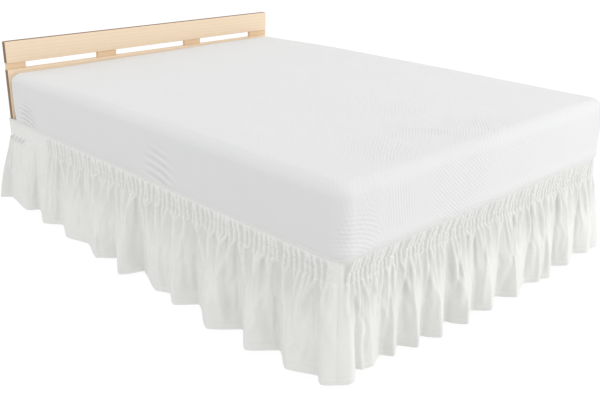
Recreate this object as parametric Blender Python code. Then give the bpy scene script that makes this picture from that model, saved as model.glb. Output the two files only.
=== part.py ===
"""Gathered bed skirt, hung round the base of a plain double bed.

Frame: metres, +Z up. The origin is on the floor under the middle of the bed, +Y points to the
headboard and +X to the right of someone who stands at the foot and looks at the headboard.

The skirt is three ruffles (left, foot, right) sewn under three shirred headings, with one binding
tape along the top. The bed is a mattress, a base on five legs, and a two-board headboard.
"""

import math
from typing import NamedTuple

import bmesh
import bpy
from mathutils import Vector

# ---------------------------------------------------------------- driving dimensions (metres)

TOUCH_GAP = 0.0003          # between two pieces that touch
CLOTH_CLEARANCE = 0.002     # between hanging cloth and a hard edge

BASE_HALF_WIDTH = 0.760
BASE_FOOT_Y = -1.010
BASE_HEAD_Y = 1.015
BASE_BOTTOM = 0.200
BASE_TOP = 0.4017
BASE_CORNER_RADIUS = 0.050  # of the two foot corners, seen from above
BASE_CORNER_STEPS = 6

LEG_SIDE = 0.060
LEG_X = 0.690
LEG_Y = 0.920

MATTRESS_HALF_WIDTH = 0.765
MATTRESS_FOOT_Y = -1.015
MATTRESS_HEAD_Y = 1.013
MATTRESS_TOP = 0.622
MATTRESS_CORNER_RADIUS = 0.058
MATTRESS_EDGE_RADIUS = 0.034
MATTRESS_EDGE_STEPS = 4

HEADBOARD_FRONT_Y = BASE_HEAD_Y + TOUCH_GAP
BOARD_THICKNESS = 0.028
LOWER_BOARD_BOTTOM = 0.230
LOWER_BOARD_TOP = 0.621
TOP_BOARD_HEIGHT = 0.096
SLOT_HEIGHT = 0.028
BLOCK_THICKNESS = 0.018
BLOCK_SETBACK = 0.004       # behind the boards' front faces
HEADBOARD_LEG_WIDTH = 0.090
BOARD_EDGE_BEVEL = 0.002
BOARD_EDGE_STEPS = 1

CLOTH_THICKNESS = 0.002
BINDING_THICKNESS = 0.003
BINDING_TOP = 0.400
BINDING_HEIGHT = 0.012
HEADING_TOP = BINDING_TOP - BINDING_HEIGHT - TOUCH_GAP
HEADING_BOTTOM = 0.320
GATHER_PITCH = 0.045
GATHER_DEPTH = 0.004        # from valley to crest of one gather
GATHER_TOP_SHARE = 0.7      # of that depth, close under the binding
GATHER_COLUMNS = 4          # mesh columns a gather
CORNER_PATCH = 0.020        # smooth cloth left on each side of a corner's arc

RUFFLE_TOP = HEADING_BOTTOM - TOUCH_GAP
RUFFLE_DROP = 0.308         # length of the ruffle's cloth, stitch line to hem
RUFFLE_LEVELS = (0.0, 0.12, 0.33, 0.62, 1.0)   # shares of the drop that carry a mesh row
SWING_POWER = 1.5           # how early a fold's outward swing comes; 1 is a straight line
HEM_LIFT = 0.5              # share of a fold's outward swing that raises its hem
COLUMNS_A_WALL = 5          # mesh columns between a fold's valley and its crest
CORNER_FOLD_OUT = 0.060
SEAM_HALF_GAP = 0.0002

SHEET_SHARP_ANGLE = 50.0    # degrees; shaded smooth below it
PAD_SHARP_ANGLE = 40.0

FREE_END_TOP_Y = 1.048      # the skirt's ends reach the headboard's back
FREE_END_HEM_Y = 1.105      # and their hems swing on past it
FREE_END_OUT = 0.063


# ---------------------------------------------------------------- tables

class Fold(NamedTuple):
    """One fold of a ruffle: a valley, then the crest that follows it.

    top and hem are places along the wall (y on a side, x at the foot) where the line starts under
    the heading and where it meets the hem; out is how far the hem stands out from the base.
    """

    valley_top: float
    valley_hem: float
    valley_out: float
    crest_top: float
    crest_hem: float
    crest_out: float


#                  valley: top      hem     out   crest: top     hem     out
SIDE_FOLDS = (
    Fold(1.035, 1.075, 0.020, 0.900, 0.872, 0.050),
    Fold(0.820, 0.832, 0.004, 0.705, 0.672, 0.069),
    Fold(0.610, 0.610, 0.013, 0.505, 0.465, 0.072),
    Fold(0.400, 0.360, 0.036, 0.250, 0.205, 0.090),
    Fold(0.175, 0.158, 0.025, 0.060, 0.012, 0.108),
    Fold(0.000, -0.015, 0.014, -0.135, -0.180, 0.074),
    Fold(-0.190, -0.228, 0.047, -0.270, -0.315, 0.094),
    Fold(-0.325, -0.366, 0.019, -0.480, -0.530, 0.114),
    Fold(-0.570, -0.603, 0.017, -0.670, -0.715, 0.105),
    Fold(-0.750, -0.783, 0.016, -0.840, -0.878, 0.081),
)
FOOT_FOLDS = (
    Fold(-0.700, -0.693, 0.006, -0.650, -0.630, 0.034),
    Fold(-0.570, -0.565, 0.004, -0.540, -0.535, 0.040),
    Fold(-0.480, -0.476, 0.004, -0.445, -0.442, 0.060),
    Fold(-0.380, -0.379, 0.020, -0.325, -0.335, 0.076),
    Fold(-0.255, -0.244, 0.013, -0.195, -0.200, 0.084),
    Fold(-0.108, -0.108, 0.028, -0.050, -0.057, 0.081),
    Fold(0.060, 0.048, 0.024, 0.105, 0.094, 0.088),
    Fold(0.225, 0.219, 0.038, 0.272, 0.268, 0.075),
    Fold(0.298, 0.290, 0.060, 0.332, 0.326, 0.084),
    Fold(0.432, 0.432, 0.026, 0.480, 0.483, 0.074),
    Fold(0.605, 0.605, 0.027, 0.655, 0.655, 0.064),
)


class Valley(NamedTuple):
    """The last valley of a wall, before the fold that turns its corner."""

    top: float
    hem: float
    out: float


SIDE_LAST_VALLEY = Valley(-0.900, -0.930, 0.035)
FOOT_LAST_VALLEY = Valley(0.700, 0.705, 0.050)


class Block(NamedTuple):
    """One spacer block between the headboard's boards, from one x to another."""

    left: float
    right: float


HEADBOARD_BLOCKS = (
    Block(-0.760, -0.671),
    Block(-0.306, -0.205),
    Block(0.203, 0.302),
    Block(0.645, 0.760),
)


class Finish(NamedTuple):
    """Colour (linear), roughness and metallic value of one material."""

    color: tuple
    roughness: float
    metallic: float


FINISHES = {
    "ruffle_cloth": Finish((0.82, 0.82, 0.80), 0.85, 0.0),
    "heading_cloth": Finish((0.80, 0.80, 0.78), 0.85, 0.0),
    "binding_tape": Finish((0.86, 0.86, 0.85), 0.80, 0.0),
    "mattress_cover": Finish((0.86, 0.86, 0.87), 0.90, 0.0),
    "base_fabric": Finish((0.55, 0.54, 0.52), 0.90, 0.0),
    "board_pine": Finish((0.84, 0.68, 0.50), 0.55, 0.0),
    "block_pine": Finish((0.76, 0.56, 0.36), 0.60, 0.0),
    "leg_wood": Finish((0.30, 0.20, 0.12), 0.60, 0.0),
}


# ---------------------------------------------------------------- the base's edge, as a path

FOOT_RUN = BASE_HALF_WIDTH - BASE_CORNER_RADIUS
CORNER_ARC = 0.5 * math.pi * BASE_CORNER_RADIUS
CORNER_MIDDLE = FOOT_RUN + 0.5 * CORNER_ARC
SIDE_START_Y = BASE_FOOT_Y + BASE_CORNER_RADIUS


def side_station(y: float) -> float:
    """Distance along the base's edge from the middle of the foot to a place on a side."""
    return FOOT_RUN + CORNER_ARC + y - SIDE_START_Y


def edge_frame(station: float) -> tuple:
    """Point on the base's edge and the outward direction there; right of the foot is positive."""
    side = math.copysign(1.0, station)
    run = abs(station)
    if run <= FOOT_RUN:
        return Vector((station, BASE_FOOT_Y, 0.0)), Vector((0.0, -1.0, 0.0))
    if run <= FOOT_RUN + CORNER_ARC:
        angle = (run - FOOT_RUN) / BASE_CORNER_RADIUS
        outward = Vector((side * math.sin(angle), -math.cos(angle), 0.0))
        centre = Vector((side * FOOT_RUN, SIDE_START_Y, 0.0))
        return centre + BASE_CORNER_RADIUS * outward, outward
    along = SIDE_START_Y + run - FOOT_RUN - CORNER_ARC
    return Vector((side * BASE_HALF_WIDTH, along, 0.0)), Vector((side, 0.0, 0.0))


def edge_point(station: float, out: float, z: float) -> Vector:
    """Point at a distance out from the base's edge, at a height."""
    point, outward = edge_frame(station)
    spot = point + out * outward
    spot.z = z
    return spot


# ---------------------------------------------------------------- helpers

def clear_scene() -> None:
    """Remove every object that the scene holds."""
    for scene_object in list(bpy.data.objects):
        bpy.data.objects.remove(scene_object, do_unlink=True)


def make_material(name: str) -> bpy.types.Material:
    """Make the Principled material of a finish."""
    finish = FINISHES[name]
    material = bpy.data.materials.new(name)
    material.use_nodes = True
    shader = material.node_tree.nodes["Principled BSDF"]
    shader.inputs["Base Color"].default_value = (*finish.color, 1.0)
    shader.inputs["Roughness"].default_value = finish.roughness
    shader.inputs["Metallic"].default_value = finish.metallic
    return material


def add_object(name: str, mesh_source: bmesh.types.BMesh, material: bpy.types.Material):
    """Turn a bmesh into a named object with one material."""
    mesh = bpy.data.meshes.new(name)
    mesh_source.to_mesh(mesh)
    mesh_source.free()
    mesh.materials.append(material)
    new_object = bpy.data.objects.new(name, mesh)
    bpy.context.scene.collection.objects.link(new_object)
    return new_object


def add_box(name: str, low: tuple, high: tuple, material: bpy.types.Material):
    """Add a plain box between two corners, its object at the box's middle."""
    low, high = Vector(low), Vector(high)
    box = bmesh.new()
    bmesh.ops.create_cube(box, size=1.0)
    bmesh.ops.scale(box, vec=high - low, verts=box.verts)
    new_object = add_object(name, box, material)
    new_object.location = (low + high) / 2
    return new_object


def bevel_edges(piece, width: float, segments: int) -> None:
    """Round a piece's edges with a Bevel modifier."""
    bevel = piece.modifiers.new("soft_edges", "BEVEL")
    bevel.width = width
    bevel.segments = segments
    bevel.limit_method = "ANGLE"


def smooth_shade(piece, angle_degrees: float) -> None:
    """Shade a piece smooth, with sharp edges past an angle."""
    piece.data.shade_smooth()
    piece.data.set_sharp_from_angle(angle=math.radians(angle_degrees))


def sheet_solid(name: str, rows: list, thickness: float, material: bpy.types.Material):
    """Add a closed sheet around a grid of middle points.

    rows run from the top down, and each holds as many points as the others, from the left end of
    the skirt to its right end. The thickness is measured level, so both rims stay flat.
    """
    sheet = bmesh.new()
    faces = {"outer": [], "inner": []}
    for row in rows:
        outer_row, inner_row = [], []
        for index, point in enumerate(row):
            before = row[max(index - 1, 0)]
            after = row[min(index + 1, len(row) - 1)]
            along = after - before
            outward = Vector((along.y, -along.x, 0.0)).normalized()
            outer_row.append(sheet.verts.new(point + 0.5 * thickness * outward))
            inner_row.append(sheet.verts.new(point - 0.5 * thickness * outward))
        faces["outer"].append(outer_row)
        faces["inner"].append(inner_row)
    outer, inner = faces["outer"], faces["inner"]
    last_row, last_column = len(rows) - 1, len(rows[0]) - 1
    for column in range(last_column):
        for level in range(last_row):
            sheet.faces.new((outer[level][column], outer[level + 1][column],
                             outer[level + 1][column + 1], outer[level][column + 1]))
            sheet.faces.new((inner[level][column], inner[level][column + 1],
                             inner[level + 1][column + 1], inner[level + 1][column]))
        sheet.faces.new((outer[0][column], outer[0][column + 1],
                         inner[0][column + 1], inner[0][column]))
        sheet.faces.new((outer[last_row][column], inner[last_row][column],
                         inner[last_row][column + 1], outer[last_row][column + 1]))
    for level in range(last_row):
        sheet.faces.new((outer[level][0], inner[level][0],
                         inner[level + 1][0], outer[level + 1][0]))
        sheet.faces.new((outer[level][last_column], outer[level + 1][last_column],
                         inner[level + 1][last_column], inner[level][last_column]))
    bmesh.ops.triangulate(sheet, faces=sheet.faces)
    new_object = add_object(name, sheet, material)
    smooth_shade(new_object, SHEET_SHARP_ANGLE)
    return new_object


# ---------------------------------------------------------------- skirt

class Knot(NamedTuple):
    """A valley or crest line of a ruffle: where it starts, where it ends, how far its hem is out."""

    top: float
    hem: float
    out: float


def corner_knot(side: float, inset: float) -> Knot:
    """The crest that turns a corner, its seam's gap to one side."""
    station = side * (CORNER_MIDDLE + inset)
    return Knot(station, station, CORNER_FOLD_OUT)


def side_knots(side: float) -> list:
    """Valley and crest lines of a side ruffle, from its free end to its corner seam."""
    knots = [Knot(side * side_station(FREE_END_TOP_Y), side * side_station(FREE_END_HEM_Y),
                  FREE_END_OUT)]
    for fold in SIDE_FOLDS:
        knots.append(Knot(side * side_station(fold.valley_top),
                          side * side_station(fold.valley_hem), fold.valley_out))
        knots.append(Knot(side * side_station(fold.crest_top),
                          side * side_station(fold.crest_hem), fold.crest_out))
    knots.append(Knot(side * side_station(SIDE_LAST_VALLEY.top),
                      side * side_station(SIDE_LAST_VALLEY.hem), SIDE_LAST_VALLEY.out))
    knots.append(corner_knot(side, SEAM_HALF_GAP))
    return knots if side < 0 else knots[::-1]


def foot_knots() -> list:
    """Valley and crest lines of the foot ruffle, from one corner seam to the other."""
    knots = [corner_knot(-1.0, -SEAM_HALF_GAP)]
    for fold in FOOT_FOLDS:
        knots.append(Knot(fold.valley_top, fold.valley_hem, fold.valley_out))
        knots.append(Knot(fold.crest_top, fold.crest_hem, fold.crest_out))
    knots.append(Knot(*FOOT_LAST_VALLEY))
    knots.append(corner_knot(1.0, -SEAM_HALF_GAP))
    return knots


def ruffle_point(line: Knot, share: float) -> Vector:
    """Point of a ruffle's middle surface at a share of its drop.

    A fold swings out quickly under the heading, hangs nearly straight below, and leans evenly.
    """
    swing = 1.0 - (1.0 - share) ** SWING_POWER
    rest_out = CLOTH_CLEARANCE + 0.5 * CLOTH_THICKNESS
    station = line.top + (line.hem - line.top) * share
    out = rest_out + (line.out - rest_out) * swing
    lift = HEM_LIFT * out * out / (2.0 * RUFFLE_DROP)
    return edge_point(station, out, RUFFLE_TOP - share * (RUFFLE_DROP - lift))


def spread_knots(knots: list) -> list:
    """Add the lines between each valley and crest, with an eased outward swing."""
    lines = []
    for here, there in zip(knots, knots[1:]):
        for step in range(COLUMNS_A_WALL):
            part = step / COLUMNS_A_WALL
            ease = 0.5 - 0.5 * math.cos(math.pi * part)
            lines.append(Knot(here.top + (there.top - here.top) * part,
                              here.hem + (there.hem - here.hem) * part,
                              here.out + (there.out - here.out) * ease))
    lines.append(knots[-1])
    return lines


def build_ruffle(name: str, knots: list, material: bpy.types.Material) -> None:
    """Hang one gathered ruffle."""
    lines = spread_knots(knots)
    rows = [[ruffle_point(line, share) for line in lines] for share in RUFFLE_LEVELS]
    sheet_solid(name, rows, CLOTH_THICKNESS, material)


def gather_share(station: float) -> float:
    """How much of the gathers' depth shows: none on the smooth patch round a corner."""
    reach = abs(abs(station) - CORNER_MIDDLE) - 0.5 * CORNER_ARC
    return min(max((reach - CORNER_PATCH) / GATHER_PITCH, 0.0), 1.0)


def build_heading(name: str, start: float, end: float, material: bpy.types.Material) -> None:
    """Add one shirred heading between two places on the base's edge."""
    gathers = round((end - start) / GATHER_PITCH)
    columns = gathers * GATHER_COLUMNS
    rows = []
    for z, depth in ((HEADING_TOP, GATHER_TOP_SHARE * GATHER_DEPTH), (HEADING_BOTTOM, GATHER_DEPTH)):
        row = []
        for column in range(columns + 1):
            station = start + (end - start) * column / columns
            wave = 0.5 - 0.5 * math.cos(2.0 * math.pi * column / GATHER_COLUMNS)
            out = TOUCH_GAP + 0.5 * CLOTH_THICKNESS + depth * wave * gather_share(station)
            row.append(edge_point(station, out, z))
        rows.append(row)
    sheet_solid(name, rows, CLOTH_THICKNESS, material)


def build_binding(material: bpy.types.Material) -> None:
    """Add the tape that binds the whole skirt's top edge, from one free end to the other."""
    stations = [-side_station(FREE_END_TOP_Y)]
    for side in (-1.0, 1.0):
        for step in range(BASE_CORNER_STEPS + 1):
            turn = step / BASE_CORNER_STEPS
            arc = (1.0 - turn) if side < 0 else turn
            stations.append(side * (FOOT_RUN + CORNER_ARC * arc))
    stations.append(side_station(FREE_END_TOP_Y))
    out = TOUCH_GAP + 0.5 * BINDING_THICKNESS
    rows = [[edge_point(station, out, z) for station in stations]
            for z in (BINDING_TOP, BINDING_TOP - BINDING_HEIGHT)]
    sheet_solid("binding", rows, BINDING_THICKNESS, material)


def build_skirt() -> None:
    """Build the ruffles, the headings and the binding."""
    ruffle_cloth = make_material("ruffle_cloth")
    build_ruffle("ruffle_left", side_knots(-1.0), ruffle_cloth)
    build_ruffle("ruffle_foot", foot_knots(), ruffle_cloth)
    build_ruffle("ruffle_right", side_knots(1.0), ruffle_cloth)
    heading_cloth = make_material("heading_cloth")
    free_end = side_station(FREE_END_TOP_Y)
    seam_low, seam_high = CORNER_MIDDLE - SEAM_HALF_GAP, CORNER_MIDDLE + SEAM_HALF_GAP
    build_heading("heading_left", -free_end, -seam_high, heading_cloth)
    build_heading("heading_foot", -seam_low, seam_low, heading_cloth)
    build_heading("heading_right", seam_high, free_end, heading_cloth)
    build_binding(make_material("binding_tape"))


# ---------------------------------------------------------------- bed

def build_mattress() -> None:
    """Build the mattress: a block with rounded corners and soft top and bottom edges."""
    low = Vector((-MATTRESS_HALF_WIDTH, MATTRESS_FOOT_Y, BASE_TOP + TOUCH_GAP))
    high = Vector((MATTRESS_HALF_WIDTH, MATTRESS_HEAD_Y, MATTRESS_TOP))
    block = bmesh.new()
    bmesh.ops.create_cube(block, size=1.0)
    bmesh.ops.scale(block, vec=high - low, verts=block.verts)
    bmesh.ops.translate(block, vec=(low + high) / 2, verts=block.verts)
    uprights = [edge for edge in block.edges
                if abs(edge.verts[0].co.z - edge.verts[1].co.z) > 0.5 * (high.z - low.z)]
    bmesh.ops.bevel(block, geom=uprights, offset=MATTRESS_CORNER_RADIUS,
                    segments=BASE_CORNER_STEPS, profile=0.5, affect="EDGES")
    rims = [edge for edge in block.edges if edge.verts[0].co.z == edge.verts[1].co.z]
    bmesh.ops.bevel(block, geom=rims, offset=MATTRESS_EDGE_RADIUS,
                    segments=MATTRESS_EDGE_STEPS, profile=0.5, affect="EDGES")
    smooth_shade(add_object("mattress", block, make_material("mattress_cover")), PAD_SHARP_ANGLE)


def build_base() -> None:
    """Build the base: a plain block whose foot corners follow the skirt's path."""
    outline = [edge_frame(side_station(BASE_HEAD_Y))[0]]
    for side in (1.0, -1.0):
        for step in range(BASE_CORNER_STEPS + 1):
            turn = step / BASE_CORNER_STEPS
            arc = (1.0 - turn) if side > 0 else turn
            outline.append(edge_frame(side * (FOOT_RUN + CORNER_ARC * arc))[0])
    outline.append(edge_frame(-side_station(BASE_HEAD_Y))[0])
    block = bmesh.new()
    bottom = block.faces.new([block.verts.new(point) for point in outline])
    bmesh.ops.translate(block, vec=(0.0, 0.0, BASE_BOTTOM), verts=block.verts)
    grown = bmesh.ops.extrude_face_region(block, geom=[bottom])["geom"]
    lifted = [item for item in grown if isinstance(item, bmesh.types.BMVert)]
    bmesh.ops.translate(block, vec=(0.0, 0.0, BASE_TOP - BASE_BOTTOM), verts=lifted)
    bmesh.ops.recalc_face_normals(block, faces=block.faces)
    add_object("bed_base", block, make_material("base_fabric"))


def build_legs() -> None:
    """Stand the base on four corner legs and one in the middle."""
    leg_wood = make_material("leg_wood")
    places = {
        "leg_foot_left": (-LEG_X, -LEG_Y),
        "leg_foot_right": (LEG_X, -LEG_Y),
        "leg_head_left": (-LEG_X, LEG_Y),
        "leg_head_right": (LEG_X, LEG_Y),
        "leg_middle": (0.0, 0.0),
    }
    half = 0.5 * LEG_SIDE
    for name, (x, y) in places.items():
        add_box(name, (x - half, y - half, 0.0), (x + half, y + half, BASE_BOTTOM - TOUCH_GAP),
                leg_wood)


def build_headboard() -> None:
    """Build the headboard: two boards with four blocks between them, on two legs."""
    pine = make_material("board_pine")
    front = HEADBOARD_FRONT_Y
    lower = add_box("headboard_lower_board",
                    (-BASE_HALF_WIDTH, front, LOWER_BOARD_BOTTOM),
                    (BASE_HALF_WIDTH, front + BOARD_THICKNESS, LOWER_BOARD_TOP), pine)
    top_start = LOWER_BOARD_TOP + SLOT_HEIGHT
    top = add_box("headboard_top_board",
                  (-BASE_HALF_WIDTH, front, top_start),
                  (BASE_HALF_WIDTH, front + BOARD_THICKNESS, top_start + TOP_BOARD_HEIGHT),
                  pine)
    for board in (lower, top):
        bevel_edges(board, BOARD_EDGE_BEVEL, BOARD_EDGE_STEPS)
    block_pine = make_material("block_pine")
    block_front = front + BLOCK_SETBACK
    for number, block in enumerate(HEADBOARD_BLOCKS, start=1):
        add_box(f"headboard_block_{number}",
                (block.left, block_front, LOWER_BOARD_TOP + TOUCH_GAP),
                (block.right, block_front + BLOCK_THICKNESS, top_start - TOUCH_GAP), block_pine)
    for side_name, side in (("left", -1.0), ("right", 1.0)):
        ends = sorted((side * BASE_HALF_WIDTH, side * (BASE_HALF_WIDTH - HEADBOARD_LEG_WIDTH)))
        add_box(f"headboard_leg_{side_name}", (ends[0], front, 0.0),
                (ends[1], front + BOARD_THICKNESS, LOWER_BOARD_BOTTOM - TOUCH_GAP), pine)


def main() -> None:
    """Build the skirt and its bed."""
    clear_scene()
    build_skirt()
    build_mattress()
    build_base()
    build_legs()
    build_headboard()


main()
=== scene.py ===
"""Looks of a gathered bed skirt that hangs round a plain bed.

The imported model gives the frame. Every soft piece is made again here in a finer form: three
ruffles, three shirred headings, the binding tape and the mattress. The headboard, the base and
the legs are modelled with edit-mode operators and dressed in wood and fabric.

Metres, +Z up, +Y to the headboard. The skirt's places are given along the base's edge: a station
is the distance along that edge from the middle of the foot, positive to the right.
"""

import logging
import math
from dataclasses import dataclass, field
from enum import Enum
from typing import Iterable, NamedTuple

import bmesh
import bpy
import numpy as np
from mathutils import Matrix, Vector


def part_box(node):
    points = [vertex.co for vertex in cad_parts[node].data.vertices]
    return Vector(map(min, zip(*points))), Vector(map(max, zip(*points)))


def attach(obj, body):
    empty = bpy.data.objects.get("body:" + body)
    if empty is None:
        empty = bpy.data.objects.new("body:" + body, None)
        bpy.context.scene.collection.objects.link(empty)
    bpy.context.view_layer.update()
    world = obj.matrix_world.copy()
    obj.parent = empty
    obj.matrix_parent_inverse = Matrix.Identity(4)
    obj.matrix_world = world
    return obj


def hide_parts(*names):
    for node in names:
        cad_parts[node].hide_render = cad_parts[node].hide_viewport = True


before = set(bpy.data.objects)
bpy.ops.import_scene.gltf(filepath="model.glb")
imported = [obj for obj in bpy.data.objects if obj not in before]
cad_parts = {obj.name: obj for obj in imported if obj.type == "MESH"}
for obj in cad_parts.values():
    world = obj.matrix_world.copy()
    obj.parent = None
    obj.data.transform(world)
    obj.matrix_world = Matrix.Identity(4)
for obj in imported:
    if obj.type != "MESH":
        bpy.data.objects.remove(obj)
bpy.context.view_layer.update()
LOG = logging.getLogger("bed_skirt")
ROOT = "root"
Array = np.ndarray
Piece = bpy.types.Object
Material = bpy.types.Material
Socket = bpy.types.NodeSocket
Triple = tuple[float, float, float]
Color = Triple


# ---------------------------------------------------------------- lines of the skirt's folds

class Panel(Enum):
    """The three panels that the skirt is cut in."""

    LEFT = "left"
    FOOT = "foot"
    RIGHT = "right"


class Knot(NamedTuple):
    """A valley or crest line of the main folds.

    top and hem are the places along the wall (y on a side, x at the foot) where the line starts
    under the heading and where it meets the hem. out is how far its hem stands out from the base.
    """

    top: float
    hem: float
    out: float


class Crease(NamedTuple):
    """One smaller crease of a ruffle: a trough where its depth is below 0, or else a ridge.

    top and hem are the places along the wall where its line would meet the heading and the hem.
    start and end are the shares of the drop that it runs between. depth and width are in metres.
    """

    top: float
    hem: float
    start: float
    end: float
    depth: float
    width: float


class Span(NamedTuple):
    """A stretch of the base's edge, from its middle station, and half its length."""

    middle: float
    half: float


#    valley: top, hem, out    crest: top, hem, out
SIDE_LINES = tuple(Knot(*line) for line in (
    (1.035, 1.075, 0.020), (0.900, 0.872, 0.050),
    (0.820, 0.832, 0.004), (0.705, 0.672, 0.069),
    (0.610, 0.610, 0.013), (0.505, 0.465, 0.072),
    (0.400, 0.360, 0.036), (0.250, 0.205, 0.090),
    (0.175, 0.158, 0.025), (0.060, 0.012, 0.108),
    (0.000, -0.015, 0.014), (-0.135, -0.180, 0.074),
    (-0.190, -0.228, 0.047), (-0.270, -0.315, 0.094),
    (-0.325, -0.366, 0.019), (-0.480, -0.530, 0.114),
    (-0.570, -0.603, 0.017), (-0.670, -0.715, 0.105),
    (-0.750, -0.783, 0.016), (-0.840, -0.878, 0.081),
    (-0.938, -0.9655, 0.030),
))
FOOT_LINES = tuple(Knot(*line) for line in (
    (-0.700, -0.693, 0.006), (-0.650, -0.630, 0.034),
    (-0.570, -0.565, 0.004), (-0.540, -0.535, 0.040),
    (-0.480, -0.476, 0.004), (-0.445, -0.442, 0.060),
    (-0.380, -0.379, 0.020), (-0.325, -0.335, 0.076),
    (-0.255, -0.244, 0.013), (-0.195, -0.200, 0.084),
    (-0.108, -0.108, 0.028), (-0.050, -0.057, 0.081),
    (0.060, 0.048, 0.024), (0.105, 0.094, 0.088),
    (0.225, 0.219, 0.038), (0.272, 0.268, 0.075),
    (0.298, 0.290, 0.060), (0.332, 0.326, 0.084),
    (0.432, 0.432, 0.026), (0.480, 0.483, 0.074),
    (0.605, 0.605, 0.027), (0.655, 0.655, 0.064),
    (0.700, 0.705, 0.050),
))
# The fold that turns a corner: distances round the corner from the foot's straight part.
CORNER_FOOT_CREST = Knot(0.0150, 0.0190, 0.0646)
CORNER_SEAM = Knot(0.03927, 0.03927, 0.0614)
CORNER_SIDE_CREST = Knot(0.0500, 0.0570, 0.0725)
#    top, hem, start, end, depth, width
SIDE_CREASES = tuple(Crease(*line) for line in (
    (0.814, 0.843, 0.00, 0.99, -0.009, 0.010),
    (0.685, 0.653, 0.10, 0.87, -0.004, 0.008),
    (0.605, 0.628, 0.12, 0.93, -0.005, 0.008),
    (0.442, 0.326, 0.05, 0.92, -0.007, 0.009),
    (0.315, 0.192, 0.05, 0.77, 0.005, 0.009),
    (0.269, 0.191, 0.02, 1.00, -0.006, 0.008),
    (0.156, 0.026, 0.01, 0.90, -0.005, 0.008),
    (0.137, -0.002, 0.05, 0.87, 0.005, 0.008),
    (0.058, -0.004, 0.05, 0.84, 0.004, 0.007),
    (0.020, -0.010, 0.00, 0.97, -0.009, 0.009),
    (-0.051, -0.123, 0.00, 0.89, 0.005, 0.010),
    (-0.136, -0.218, 0.00, 0.91, -0.007, 0.009),
    (-0.193, -0.323, 0.00, 0.83, 0.005, 0.012),
    (-0.273, -0.356, 0.20, 0.82, -0.008, 0.010),
    (-0.337, -0.359, 0.02, 0.82, -0.005, 0.008),
    (-0.387, -0.557, 0.00, 0.79, 0.005, 0.008),
    (-0.445, -0.569, 0.00, 0.57, -0.007, 0.009),
    (-0.486, -0.567, 0.02, 0.89, 0.005, 0.009),
    (-0.512, -0.582, 0.02, 0.83, -0.010, 0.009),
    (-0.556, -0.594, 0.00, 0.77, -0.005, 0.007),
    (-0.611, -0.738, 0.00, 0.73, 0.005, 0.008),
    (-0.651, -0.755, 0.11, 0.88, 0.005, 0.010),
    (-0.685, -0.771, 0.03, 0.77, -0.008, 0.009),
    (-0.731, -0.772, 0.06, 0.83, 0.004, 0.007),
    (-0.789, -0.876, 0.04, 0.77, 0.005, 0.008),
    (-0.821, -0.916, 0.04, 0.78, -0.007, 0.010),
    (-0.874, -0.931, 0.04, 0.79, 0.004, 0.008),
    (-0.911, -0.969, 0.02, 0.52, -0.005, 0.007),
    (-0.987, -0.975, 0.04, 0.42, 0.005, 0.008),
))
FOOT_CREASES = tuple(Crease(*line) for line in (
    (-0.693, -0.683, 0.00, 1.00, -0.008, 0.009),
    (-0.668, -0.667, 0.03, 1.00, 0.005, 0.007),
    (-0.642, -0.480, 0.00, 0.33, 0.004, 0.008),
    (-0.538, -0.558, 0.00, 0.93, -0.008, 0.008),
    (-0.524, -0.538, 0.00, 0.93, 0.005, 0.007),
    (-0.465, -0.471, 0.02, 0.81, -0.008, 0.008),
    (-0.446, -0.436, 0.14, 0.92, 0.005, 0.009),
    (-0.350, -0.378, 0.03, 0.97, -0.008, 0.008),
    (-0.234, -0.238, 0.36, 0.99, -0.008, 0.008),
    (-0.188, -0.240, 0.01, 0.65, -0.010, 0.008),
    (-0.135, -0.216, 0.05, 0.82, 0.006, 0.007),
    (-0.098, -0.097, 0.09, 0.93, -0.007, 0.007),
    (-0.049, -0.082, 0.07, 0.86, 0.005, 0.007),
    (0.147, 0.053, 0.00, 0.91, -0.008, 0.008),
    (0.177, 0.111, 0.08, 0.87, 0.005, 0.008),
    (0.262, 0.212, 0.09, 0.88, -0.008, 0.008),
    (0.304, 0.255, 0.13, 0.90, 0.005, 0.008),
    (0.351, 0.299, 0.10, 0.88, -0.008, 0.009),
    (0.446, 0.432, 0.00, 0.91, -0.008, 0.008),
    (0.507, 0.466, 0.10, 0.85, 0.005, 0.008),
    (0.607, 0.605, 0.05, 0.94, -0.007, 0.008),
))


# ---------------------------------------------------------------- the base's edge, as a path

@dataclass(frozen=True)
class EdgePath:
    """The outline of the bed base that the skirt hangs round.

    Attributes:
        half_width: Half the base's width.
        foot_y: Where the base's foot face is.
        corner_radius: Radius of the two foot corners, seen from above.
    """

    half_width: float = 0.760
    foot_y: float = -1.010
    corner_radius: float = 0.050

    @property
    def foot_run(self) -> float:
        """Half the length of the straight part of the foot."""
        return self.half_width - self.corner_radius

    @property
    def corner_arc(self) -> float:
        """Length of the edge round one corner."""
        return 0.5 * math.pi * self.corner_radius

    @property
    def corner_middle(self) -> float:
        """Station of the middle of the right corner, where two panels meet."""
        return self.foot_run + 0.5 * self.corner_arc

    def side_station(self, y: float) -> float:
        """Distance along the edge from the foot's middle to a place on a side."""
        return self.foot_run + self.corner_arc + y - self.foot_y - self.corner_radius

    def points(self, stations: Array, out: Array, heights: Array) -> Array:
        """Find points that stand out from the edge.

        Args:
            stations: Distances along the edge.
            out: Distances out from it.
            heights: Heights above the floor.

        Returns:
            The points, with a last axis of x, y and z.
        """
        stations, out, heights = np.broadcast_arrays(stations, out, heights)
        side = np.where(stations < 0.0, -1.0, 1.0)
        run = np.abs(stations)
        angle = np.clip((run - self.foot_run) / self.corner_radius, 0.0, 0.5 * math.pi)
        reach = self.corner_radius + out
        up_side = np.maximum(run - self.foot_run - self.corner_arc, 0.0)
        x = side * (np.minimum(run, self.foot_run) + reach * np.sin(angle))
        y = self.foot_y + self.corner_radius + up_side - reach * np.cos(angle)
        return np.stack([x, y, heights], axis=-1)


EDGE = EdgePath()
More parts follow.
